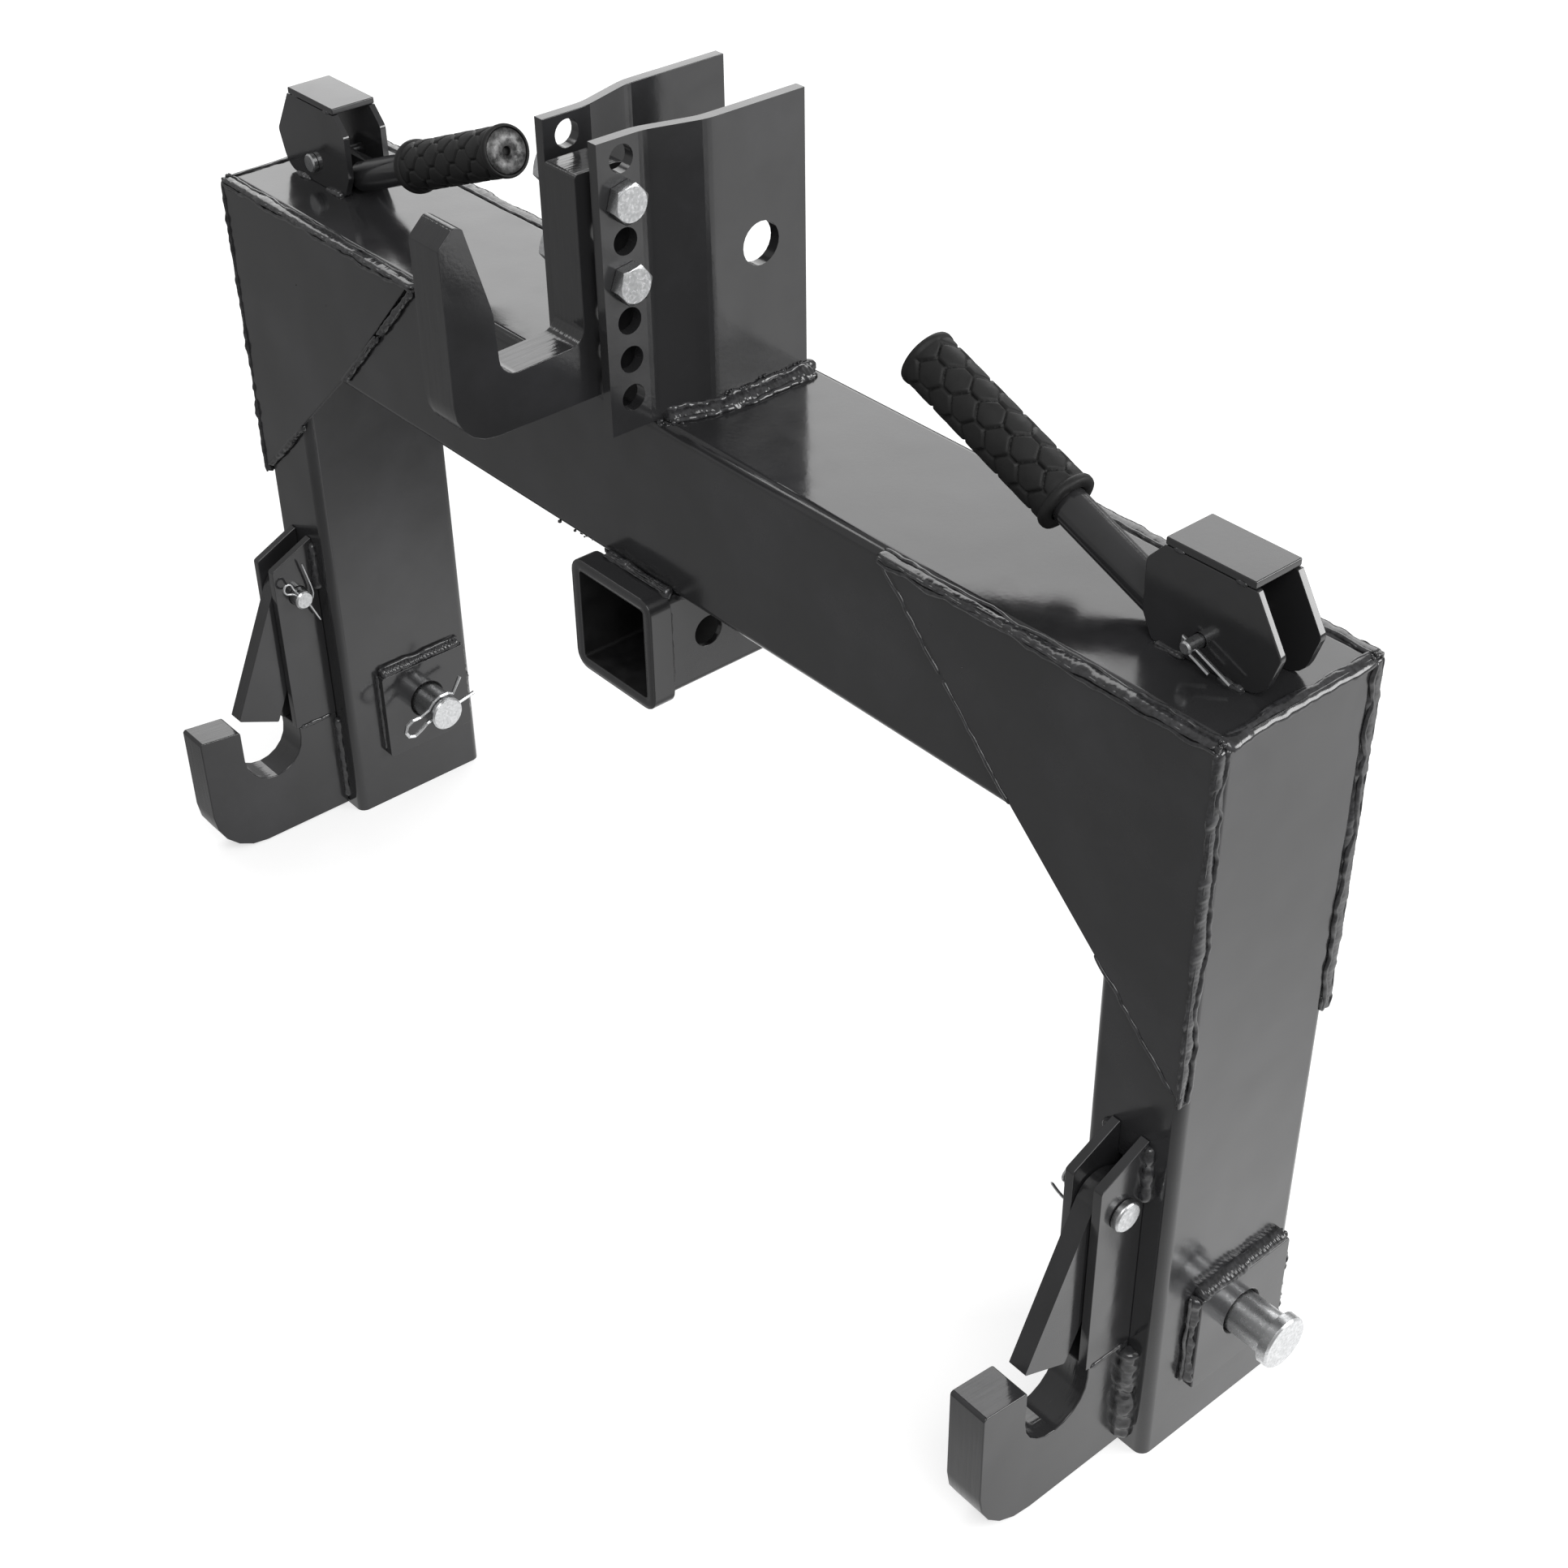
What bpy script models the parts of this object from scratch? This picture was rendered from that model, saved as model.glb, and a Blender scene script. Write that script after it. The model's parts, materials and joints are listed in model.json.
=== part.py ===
# Three point quick hitch: a beam and two legs with a top hook, two latched
# lower hooks, a receiver socket, and two hand levers that open the latches.
# Metres, +Z up. +X runs along the beam, -Y is the side of the hooks.
import math

import bmesh
import bpy
from mathutils import Matrix
from mathutils import Vector

for old_object in list(bpy.data.objects):
    bpy.data.objects.remove(old_object, do_unlink=True)

# General clearances
SEAT_GAP = 0.0003
PIN_PLAY = 0.0003

# Frame tubes: beam and legs. The lower hooks stand on the middle of the legs.
HOOK_SPACING = 0.683
FRAME_DEPTH = 0.093
BEAM_TOP = 0.4194
BEAM_HEIGHT = 0.0925
LEG_WIDTH = 0.0522
TUBE_WALL = 0.004
TUBE_CORNER = 0.0055

# Corner gussets
GUSSET_THICKNESS = 0.0028
GUSSET_LENGTH = 0.1884
GUSSET_KNEE_INSET = 0.1056
GUSSET_KNEE_HEIGHT = 0.0056
GUSSET_DROP = 0.0919

# Mast plates, bent so that the front strips stand closer together
MAST_HEIGHT = 0.1401
MAST_THICKNESS = 0.0058
MAST_FRONT_X = 0.0222
MAST_REAR_X = 0.0312
MAST_FRONT_REACH = 0.0712
MAST_BEND_FRONT = 0.046
MAST_BEND_REAR = 0.017
MAST_REAR_REACH = 0.0386
MAST_BEND_RADIUS = 0.016
HOLE_ROW_REACH = 0.0582
HOLE_ROW_DROP = 0.0095
HOLE_PITCH = 0.019
HOLE_COUNT = 7
HOLE_DIAMETER = 0.013
TOP_LINK_Y = 0.0117
TOP_LINK_DROP = 0.0663
TOP_LINK_DIAMETER = 0.0212

# Top hook, held by two bolts
TOP_HOOK_THICKNESS = 0.022
TOP_HOOK_REACH = 0.1475
TOP_HOOK_PRONG = 0.0261
TOP_HOOK_THROAT_REAR = 0.0755
TOP_HOOK_BACK = 0.043
TOP_HOOK_TOP_DROP = 0.016
TOP_HOOK_TIP_DROP = 0.0207
TOP_HOOK_FLOOR_DROP = 0.0945
TOP_HOOK_BOTTOM_DROP = 0.1238
TOP_HOOK_SLOPE = 0.0023
TOP_HOOK_NOSE_RADIUS = 0.021
BOLT_ROWS = (1, 3)
BOLT_DIAMETER = 0.012
HEX_WIDTH = 0.019
BOLT_HEAD_HEIGHT = 0.0075
NUT_HEIGHT = 0.010
BOLT_TAIL = 0.003

# Receiver socket
RECEIVER_BORE = 0.0508
RECEIVER_WALL = 0.0032
RECEIVER_CORNER = 0.005
COLLAR_WALL = 0.0031
COLLAR_AHEAD = 0.0163
COLLAR_LENGTH = 0.0129
RECEIVER_PIN_REACH = 0.025
RECEIVER_PIN_DIAMETER = 0.0166

# Lower hooks, latch cheeks and latches, measured ahead of the legs
LOWER_HOOK_THICKNESS = 0.022
HOOK_AHEAD = 0.095
HOOK_BOTTOM = 0.001
HOOK_TIP_TOP = 0.091
HOOK_TIP_SLOPE = 0.0035
THROAT_FRONT_AHEAD = 0.0675
THROAT_REAR_AHEAD = 0.0272
THROAT_BOTTOM = 0.0453
HOOK_PRONG_TOP = 0.072
HOOK_NOSE_RADIUS = 0.034
CHEEK_THICKNESS = 0.005
CHEEK_AHEAD = 0.029
CHEEK_FRONT_TOP = 0.187
CHEEK_REAR_TOP = 0.2005
LATCH_THICKNESS = 0.0104
LATCH_PIVOT_AHEAD = 0.0142
LATCH_PIVOT_Z = 0.1655
LATCH_PIN_DIAMETER = 0.012
LATCH_PIN_HEAD = 0.016
LATCH_PIN_HEAD_HEIGHT = 0.004
LATCH_PIN_TAIL = 0.0085
LATCH_TILT = math.radians(24.4)
LATCH_FRONT_OFFSET = 0.0144
LATCH_REAR_OFFSET = 0.0144
LATCH_DROP = 0.0885
LATCH_ARM = 0.024
LATCH_ARM_HALF = 0.006
LATCH_SLOT_BELOW = 0.0130
LATCH_SLOT_ABOVE = 0.0155
LATCH_SWING = math.radians(23.5)

# Lower link pins and their boss plates
BOSS_THICKNESS = 0.006
BOSS_WIDTH = 0.062
BOSS_TOP = 0.0968
BOSS_BOTTOM = 0.0365
LINK_Y = 0.008
LINK_Z = 0.0685
LINK_DIAMETER = 0.0222
LINK_HEAD_DIAMETER = 0.028
LINK_HEAD_HEIGHT = 0.006
LINK_HEAD_OUT = 0.033
LINK_TAIL_IN = 0.0301
LINK_CLIP_INSET = 0.0042
LINK_CLIP_WIRE = 0.0025

# Lever housings: lengths to both sides of the pivot, heights over the beam
HOUSING_FOOT_IN = 0.0245
HOUSING_WAIST_IN = 0.0305
HOUSING_CAP_IN = 0.0215
HOUSING_CAP_OUT = 0.024
HOUSING_WAIST_OUT = 0.040
HOUSING_FOOT_OUT = 0.033
HOUSING_WAIST_IN_LOW = 0.0121
HOUSING_WAIST_IN_HIGH = 0.0361
HOUSING_WAIST_OUT_HEIGHT = 0.0216
HOUSING_HEIGHT = 0.0496
LEFT_HOUSING_SHIFT = 0.005
HOUSING_WIDTH = 0.027
HOUSING_CHEEK = 0.0035
HOUSING_CAP = 0.0035

# Levers
LEVER_PIVOT_INSET = 0.0431
LEVER_PIVOT_HEIGHT = 0.0119
LEVER_REST = math.radians(21.8)
LEVER_SWING = math.radians(36.0)
LEVER_BAR_DIAMETER = 0.017
LEVER_OFFSET = 0.0136
LEVER_BAR_START = 0.0266
LEVER_BAR_END = 0.1772
GRIP_DIAMETER = 0.026
GRIP_LENGTH = 0.091
GRIP_LIP_DIAMETER = 0.0285
GRIP_LIP_LENGTH = 0.004
GRIP_DISC_DIAMETER = 0.0232
GRIP_DISC_THICKNESS = 0.003
DIMPLE_DIAMETER = 0.005
DIMPLE_DEPTH = 0.0018
CRANK_THICKNESS = 0.005
LEVER_PIN_DIAMETER = 0.006
LEVER_PIN_HEAD = 0.0105
LEVER_PIN_HEAD_HEIGHT = 0.003
LEVER_PIN_TAIL = 0.009
SMALL_CLIP_WIRE = 0.0018

# Pull rods and return springs inside the legs
ROD_DIAMETER = 0.005
ROD_HOLE = 0.0066
ROD_SHAFT_INSET = 0.0366
ROD_SHAFT_BEHIND = 0.0185
ROD_UPPER_BEND_Z = 0.322
ROD_LOWER_BEND_Z = 0.215
ROD_FOOT_BEND_Z = 0.187
ROD_COLLAR_Z = 0.236
ROD_COLLAR_DIAMETER = 0.014
ROD_COLLAR_HEIGHT = 0.004
SPRING_SEAT_Z = 0.300
SPRING_SEAT_THICKNESS = 0.003
SPRING_SEAT_SIZE = (0.024, 0.026)
SPRING_MEAN_RADIUS = 0.0055
SPRING_WIRE = 0.0016
SPRING_TURNS = 8

# Values that follow from the sizes above
HOOK_X = HOOK_SPACING / 2
FRAME_HALF_WIDTH = HOOK_X + LEG_WIDTH / 2
LEG_FACE = FRAME_DEPTH / 2
BEAM_BOTTOM = BEAM_TOP - BEAM_HEIGHT
MAST_TOP = BEAM_TOP + MAST_HEIGHT
HOLE_ROW_TOP = MAST_TOP - HOLE_ROW_DROP
TOP_LINK_Z = MAST_TOP - TOP_LINK_DROP
GUSSET_FACE = LEG_FACE + SEAT_GAP + GUSSET_THICKNESS
COLLAR_FRONT = LEG_FACE + COLLAR_AHEAD
HOOK_REACH = LEG_FACE + HOOK_AHEAD
THROAT_FRONT = LEG_FACE + THROAT_FRONT_AHEAD
THROAT_REAR = LEG_FACE + THROAT_REAR_AHEAD
CHEEK_REACH = LEG_FACE + CHEEK_AHEAD
LATCH_PIVOT_REACH = LEG_FACE + LATCH_PIVOT_AHEAD
LINK_HEAD_FACE = FRAME_HALF_WIDTH + LINK_HEAD_OUT
LINK_TAIL_FACE = FRAME_HALF_WIDTH - LEG_WIDTH - LINK_TAIL_IN
LEVER_PIVOT_X = FRAME_HALF_WIDTH - LEVER_PIVOT_INSET
LEVER_PIVOT_Z = BEAM_TOP + LEVER_PIVOT_HEIGHT
HOUSING_TOP = BEAM_TOP + HOUSING_HEIGHT
ROD_SHAFT_X = FRAME_HALF_WIDTH - ROD_SHAFT_INSET
ROD_SHAFT_REACH = LEG_FACE - ROD_SHAFT_BEHIND
# The rod's stroke is the same at both ends, which sets the length of the
# lever's crank arm. Both arms start as far below level as they end above it.
CRANK_ARM_DROP = LEVER_SWING / 2
CRANK_ARM = LATCH_ARM * math.sin(LATCH_SWING / 2) / math.sin(CRANK_ARM_DROP)
# The origin is under the middle of the whole object, so the frame's own
# middle plane stands this far toward +Y.
FRAME_Y = (TOP_HOOK_REACH - GUSSET_FACE) / 2
FRAME_FRONT = FRAME_Y - LEG_FACE

parts = bpy.data.collections.new("three_point_quick_hitch")
bpy.context.scene.collection.children.link(parts)
cutters = bpy.data.collections.new("cutters")
bpy.context.scene.collection.children.link(cutters)


def make_material(name, color, roughness, metallic):
    material = bpy.data.materials.new(name)
    material.use_nodes = True
    shader = material.node_tree.nodes["Principled BSDF"]
    shader.inputs["Base Color"].default_value = (*color, 1.0)
    shader.inputs["Roughness"].default_value = roughness
    shader.inputs["Metallic"].default_value = metallic
    material.diffuse_color = (*color, 1.0)
    return material


PAINT = ((0.058, 0.058, 0.060), 0.32, 0.0)
ZINC = ((0.62, 0.63, 0.65), 0.28, 1.0)
RUBBER = ((0.012, 0.012, 0.013), 0.62, 0.0)
SPRING_STEEL = ((0.35, 0.35, 0.37), 0.35, 1.0)


def finish_part(item, surface):
    item.data.materials.clear()
    item.data.materials.append(make_material(item.name, *surface))
    for collection in list(item.users_collection):
        collection.objects.unlink(item)
    parts.objects.link(item)
    return item


def link_new(name, data):
    item = bpy.data.objects.new(name, data)
    parts.objects.link(item)
    return item


def to_mesh(item):
    # A curve takes no Boolean, so it becomes a mesh with the same placement.
    depsgraph = bpy.context.evaluated_depsgraph_get()
    depsgraph.update()
    mesh = bpy.data.meshes.new_from_object(item.evaluated_get(depsgraph))
    shape = bmesh.new()
    shape.from_mesh(mesh)
    bmesh.ops.remove_doubles(shape, verts=shape.verts, dist=0.000001)
    bmesh.ops.recalc_face_normals(shape, faces=shape.faces)
    shape.to_mesh(mesh)
    shape.free()
    name = item.name
    placement = item.matrix_world.copy()
    bpy.data.objects.remove(item, do_unlink=True)
    made = link_new(name, mesh)
    made.matrix_world = placement
    return made


def outline(corners):
    # Each corner is (u, v, radius). A corner with a radius becomes an arc.
    points = []
    for index, (u, v, radius) in enumerate(corners):
        corner = Vector((u, v))
        if radius == 0:
            points.append(corner)
            continue
        before = Vector(corners[index - 1][:2])
        after = Vector(corners[(index + 1) % len(corners)][:2])
        to_before = (before - corner).normalized()
        to_after = (after - corner).normalized()
        half_angle = to_before.angle(to_after) / 2
        center = corner + (to_before + to_after).normalized() * radius / math.sin(half_angle)
        start = corner + to_before * radius / math.tan(half_angle) - center
        stop = corner + to_after * radius / math.tan(half_angle) - center
        first = math.atan2(start.y, start.x)
        turn = math.atan2(stop.y, stop.x) - first
        turn = (turn + math.pi) % (2 * math.pi) - math.pi
        steps = max(2, round(abs(turn) / math.radians(18)))
        for step in range(steps + 1):
            angle = first + turn * step / steps
            points.append(center + Vector((math.cos(angle), math.sin(angle))) * radius)
    return points


# Where a flat outline's own u, v and thickness directions point in the object
PLANE_YZ = Matrix(((0, 0, 1), (1, 0, 0), (0, 1, 0)))
PLANE_XZ = Matrix(((1, 0, 0), (0, 0, -1), (0, 1, 0)))
PLANE_XY = Matrix.Identity(3)


def flat_part(name, outlines, thickness, plane, middle):
    # The first outline is the outside, any others are openings through it.
    curve = bpy.data.curves.new(name, "CURVE")
    curve.dimensions = "2D"
    curve.fill_mode = "BOTH"
    curve.extrude = thickness / 2
    for corners in outlines:
        points = outline(corners)
        spline = curve.splines.new("POLY")
        spline.points.add(len(points) - 1)
        for target, point in zip(spline.points, points):
            target.co = (point.x, point.y, 0, 1)
        spline.use_cyclic_u = True
    item = link_new(name, curve)
    item.matrix_world = Matrix.Translation(middle) @ plane.to_4x4()
    return to_mesh(item)


def bent_wire(name, points, diameter, resolution=1):
    curve = bpy.data.curves.new(name, "CURVE")
    curve.dimensions = "3D"
    curve.bevel_depth = diameter / 2
    curve.bevel_resolution = resolution
    curve.use_fill_caps = True
    spline = curve.splines.new("POLY")
    spline.points.add(len(points) - 1)
    for target, point in zip(spline.points, points):
        target.co = (*point, 1)
    return link_new(name, curve)


def turned_part(name, profile, place, steps=24):
    # The profile runs down the outer side from the top: (radius, height).
    mesh = bpy.data.meshes.new(name)
    points = [(radius, 0, height) for radius, height in profile]
    edges = [(index, index + 1) for index in range(len(points) - 1)]
    if profile[0][0] > 0:
        edges.append((len(points) - 1, 0))
    mesh.from_pydata(points, edges, [])
    item = link_new(name, mesh)
    item.matrix_world = place
    screw = item.modifiers.new("turning", "SCREW")
    screw.steps = steps
    screw.render_steps = steps
    screw.use_merge_vertices = True
    screw.merge_threshold = 0.0001
    return item


def solid_cylinder(name, center, direction, diameter, length, segments=24):
    shape = bmesh.new()
    bmesh.ops.create_cone(
        shape,
        cap_ends=True,
        segments=segments,
        radius1=diameter / 2,
        radius2=diameter / 2,
        depth=length,
    )
    mesh = bpy.data.meshes.new(name)
    shape.to_mesh(mesh)
    shape.free()
    item = link_new(name, mesh)
    turn = Vector(direction).to_track_quat("Z", "Y").to_matrix().to_4x4()
    item.matrix_world = Matrix.Translation(center) @ turn
    return item


def solid_box(name, low, high):
    shape = bmesh.new()
    bmesh.ops.create_cube(shape, size=1)
    size = Vector(high) - Vector(low)
    middle = (Vector(high) + Vector(low)) / 2
    bmesh.ops.scale(shape, vec=size, verts=shape.verts)
    bmesh.ops.translate(shape, vec=middle, verts=shape.verts)
    mesh = bpy.data.meshes.new(name)
    shape.to_mesh(mesh)
    shape.free()
    return link_new(name, mesh)


def combine(item, tool, operation):
    # The tool object shapes the item and is kept out of the renders.
    parts.objects.unlink(tool)
    cutters.objects.link(tool)
    tool.hide_render = True
    tool.display_type = "WIRE"
    change = item.modifiers.new(tool.name, "BOOLEAN")
    change.operation = operation
    change.solver = "EXACT"
    change.object = tool
    return item


def cut(item, tool):
    return combine(item, tool, "DIFFERENCE")


def join(item, tool):
    return combine(item, tool, "UNION")


def drill(item, label, center, direction, diameter, length):
    return cut(item, solid_cylinder(label, center, direction, diameter, length))


def smooth(item, angle=35):
    item.data.shade_smooth()
    item.data.set_sharp_from_angle(angle=math.radians(angle))
    return item


def ride_on(axis_name, point, items):
    # An empty on the joint axis carries the pieces that move together.
    axis = bpy.data.objects.new(axis_name, None)
    axis.empty_display_size = 0.02
    parts.objects.link(axis)
    axis.location = point
    bpy.context.view_layer.update()
    for item in items:
        item.parent = axis
        item.matrix_parent_inverse = axis.matrix_world.inverted()
    return axis


def box_section(name, width, height, wall, corner, length, plane, middle):
    outer = []
    inner = []
    for sign_u, sign_v in ((-1, -1), (1, -1), (1, 1), (-1, 1)):
        outer.append((sign_u * width / 2, sign_v * height / 2, corner))
        inner_u = sign_u * (width / 2 - wall)
        inner_v = sign_v * (height / 2 - wall)
        inner.append((inner_u, inner_v, max(corner - wall, 0.001)))
    return flat_part(name, [outer, inner], length, plane, middle)


# The side of a part: +1 is the right (+X), -1 is the left.
SIDES = (("right", 1), ("left", -1))


def make_beam():
    middle_z = BEAM_TOP - BEAM_HEIGHT / 2
    center = (0, FRAME_Y, middle_z)
    length = 2 * FRAME_HALF_WIDTH + 0.02
    beam = box_section("beam", FRAME_DEPTH, BEAM_HEIGHT, TUBE_WALL, TUBE_CORNER, length, PLANE_YZ, center)
    for side_name, side in SIDES:
        cut(beam, miter_wedge(side_name + "_beam_miter", side, True))
        slot_middle = side * (LEVER_PIVOT_X - CRANK_ARM + 0.0015)
        slot = solid_box(
            side_name + "_rod_slot",
            (slot_middle - 0.008, FRAME_Y - 0.0095, BEAM_TOP - 3 * TUBE_WALL),
            (slot_middle + 0.008, FRAME_Y + 0.005, BEAM_TOP + TUBE_WALL),
        )
        cut(beam, slot)
    return finish_part(beam, PAINT)


def miter_wedge(name, side, for_beam):
    # The miter runs from the inner corner under the beam to its outer top
    # edge. The wedge covers the far side of that line.
    inner_x = FRAME_HALF_WIDTH - LEG_WIDTH
    along = Vector((LEG_WIDTH, BEAM_HEIGHT)).normalized()
    across = Vector((along.y, -along.x))
    shift = across * (SEAT_GAP / 2)
    if for_beam:
        shift = -shift
        across = -across
    low = Vector((inner_x, BEAM_BOTTOM)) + shift - along * 0.05
    high = Vector((inner_x, BEAM_BOTTOM)) + shift + along * 0.20
    corners = [low, high, high - across * 0.3, low - across * 0.3]
    shape = [(side * point.x, point.y, 0) for point in corners]
    return flat_part(name, [shape], 2 * FRAME_DEPTH, PLANE_XZ, (0, FRAME_Y, 0))


def make_leg(side_name, side):
    name = side_name + "_leg"
    middle_x = side * (FRAME_HALF_WIDTH - LEG_WIDTH / 2)
    length = BEAM_TOP + 0.01
    center = (middle_x, FRAME_Y, length / 2)
    leg = box_section(name, LEG_WIDTH, FRAME_DEPTH, TUBE_WALL, TUBE_CORNER, length, PLANE_XY, center)
    cut(leg, miter_wedge(side_name + "_leg_miter", side, False))
    drill(
        leg,
        side_name + "_leg_link_hole",
        (middle_x, FRAME_Y + LINK_Y, LINK_Z),
        (1, 0, 0),
        LINK_DIAMETER + 2 * PIN_PLAY,
        2 * LEG_WIDTH,
    )
    slot_half = LATCH_THICKNESS / 2 + 0.001
    slot = solid_box(
        side_name + "_latch_slot",
        (side * HOOK_X - slot_half, FRAME_FRONT - TUBE_WALL, LATCH_PIVOT_Z - LATCH_SLOT_BELOW),
        (side * HOOK_X + slot_half, FRAME_FRONT + 2 * TUBE_WALL, LATCH_PIVOT_Z + LATCH_SLOT_ABOVE),
    )
    cut(leg, slot)
    return finish_part(leg, PAINT)


def make_gusset(side_name, side, face_name, face):
    corners = [
        (side * (FRAME_HALF_WIDTH - GUSSET_LENGTH), BEAM_TOP, 0),
        (side * FRAME_HALF_WIDTH, BEAM_TOP, 0),
        (side * FRAME_HALF_WIDTH, BEAM_BOTTOM - GUSSET_DROP, 0),
        (side * (FRAME_HALF_WIDTH - GUSSET_KNEE_INSET), BEAM_BOTTOM + GUSSET_KNEE_HEIGHT, 0),
    ]
    middle_y = FRAME_Y + face * (GUSSET_FACE - GUSSET_THICKNESS / 2)
    name = side_name + "_" + face_name + "_gusset"
    gusset = flat_part(name, [corners], GUSSET_THICKNESS, PLANE_XZ, (0, middle_y, 0))
    return finish_part(gusset, PAINT)


def make_mast_plate(side_name, side):
    # The plate is drawn from above: the front strip steps in toward the
    # middle through two bends.
    outer = side * MAST_REAR_X
    inner = side * (MAST_REAR_X - MAST_THICKNESS)
    front_outer = side * MAST_FRONT_X
    front_inner = side * (MAST_FRONT_X - MAST_THICKNESS)
    step = 0.0009
    corners = [
        (front_outer, -MAST_FRONT_REACH, 0),
        (front_outer, -MAST_BEND_FRONT, MAST_BEND_RADIUS),
        (outer, -MAST_BEND_REAR, MAST_BEND_RADIUS),
        (outer, MAST_REAR_REACH, 0),
        (inner, MAST_REAR_REACH, 0),
        (inner, -MAST_BEND_REAR - step, MAST_BEND_RADIUS),
        (front_inner, -MAST_BEND_FRONT - step, MAST_BEND_RADIUS),
        (front_inner, -MAST_FRONT_REACH, 0),
    ]
    low = BEAM_TOP + SEAT_GAP
    middle = (0, FRAME_Y, (MAST_TOP + low) / 2)
    plate = flat_part(side_name + "_mast_plate", [corners], MAST_TOP - low, PLANE_XY, middle)
    for row in range(HOLE_COUNT):
        center = (side * MAST_FRONT_X, FRAME_Y - HOLE_ROW_REACH, HOLE_ROW_TOP - row * HOLE_PITCH)
        label = "{}_row_hole_{}".format(side_name, row + 1)
        drill(plate, label, center, (1, 0, 0), HOLE_DIAMETER, 4 * MAST_THICKNESS)
    drill(
        plate,
        side_name + "_top_link_hole",
        (side * MAST_REAR_X, FRAME_Y + TOP_LINK_Y, TOP_LINK_Z),
        (1, 0, 0),
        TOP_LINK_DIAMETER,
        4 * MAST_THICKNESS,
    )
    return finish_part(plate, PAINT)


def make_top_hook():
    front = -TOP_HOOK_REACH
    prong = front + TOP_HOOK_PRONG
    top = MAST_TOP - TOP_HOOK_TOP_DROP
    tip = MAST_TOP - TOP_HOOK_TIP_DROP
    floor = MAST_TOP - TOP_HOOK_FLOOR_DROP
    bottom = MAST_TOP - TOP_HOOK_BOTTOM_DROP
    corners = [
        (-TOP_HOOK_BACK, bottom + 0.001, 0.006),
        (front, bottom, TOP_HOOK_NOSE_RADIUS),
        (front, tip - 0.0083, 0.003),
        (front + 0.009, tip, 0.003),
        (front + 0.0132, tip - 0.0025, 0),
        (prong - 0.0011, (floor + tip) / 2 - 0.0084, 0.030),
        (prong, floor - TOP_HOOK_SLOPE, 0.009),
        (-TOP_HOOK_THROAT_REAR, floor, 0.008),
        (-TOP_HOOK_THROAT_REAR, top, 0.002),
        (-TOP_HOOK_BACK, top, 0.010),
    ]
    hook = flat_part("top_hook", [corners], TOP_HOOK_THICKNESS, PLANE_YZ, (0, FRAME_Y, 0))
    for row in BOLT_ROWS:
        center = (0, FRAME_Y - HOLE_ROW_REACH, HOLE_ROW_TOP - row * HOLE_PITCH)
        label = "top_hook_hole_{}".format(row + 1)
        drill(hook, label, center, (1, 0, 0), HOLE_DIAMETER, 2 * TOP_HOOK_THICKNESS)
    return finish_part(hook, PAINT)


def make_hook_bolt(level, row):
    # The head bears on the right strip, the nut on the left one.
    y = FRAME_Y - HOLE_ROW_REACH
    z = HOLE_ROW_TOP - row * HOLE_PITCH
    hex_across = HEX_WIDTH / math.cos(math.radians(30))
    head_low = MAST_FRONT_X + SEAT_GAP
    head_middle = head_low + BOLT_HEAD_HEIGHT / 2
    name = "top_hook_bolt_" + level
    bolt = solid_cylinder(name, (head_middle, y, z), (1, 0, 0), hex_across, BOLT_HEAD_HEIGHT, 6)
    tail = -MAST_FRONT_X - SEAT_GAP - NUT_HEIGHT - BOLT_TAIL
    length = head_middle - tail
    shank = solid_cylinder(name + "_shank", (tail + length / 2, y, z), (1, 0, 0), BOLT_DIAMETER, length)
    join(bolt, shank)
    finish_part(bolt, ZINC)
    nut_middle = -MAST_FRONT_X - SEAT_GAP - NUT_HEIGHT / 2
    nut_name = "top_hook_nut_" + level
    nut = solid_cylinder(nut_name, (nut_middle, y, z), (1, 0, 0), hex_across, NUT_HEIGHT, 6)
    bore = BOLT_DIAMETER + 2 * PIN_PLAY
    drill(nut, nut_name + "_bore", (nut_middle, y, z), (1, 0, 0), bore, 2 * NUT_HEIGHT)
    finish_part(nut, ZINC)


def make_receiver():
    size = RECEIVER_BORE + 2 * RECEIVER_WALL
    center_z = BEAM_BOTTOM - SEAT_GAP - size / 2
    front = FRAME_Y - COLLAR_FRONT
    back = FRAME_Y + LEG_FACE
    tube = box_section(
        "receiver_tube",
        size,
        size,
        RECEIVER_WALL,
        RECEIVER_CORNER,
        back - front,
        PLANE_XZ,
        (0, (front + back) / 2, center_z),
    )
    pin_y = FRAME_Y - RECEIVER_PIN_REACH
    drill(tube, "receiver_pin_hole", (0, pin_y, center_z), (1, 0, 0), RECEIVER_PIN_DIAMETER, 2 * size)
    finish_part(tube, PAINT)
    outside = size + 2 * (SEAT_GAP + COLLAR_WALL)
    collar = box_section(
        "receiver_collar",
        outside,
        outside,
        COLLAR_WALL,
        RECEIVER_CORNER + SEAT_GAP + COLLAR_WALL,
        COLLAR_LENGTH,
        PLANE_XZ,
        (0, front + COLLAR_LENGTH / 2, center_z),
    )
    finish_part(collar, PAINT)


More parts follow.
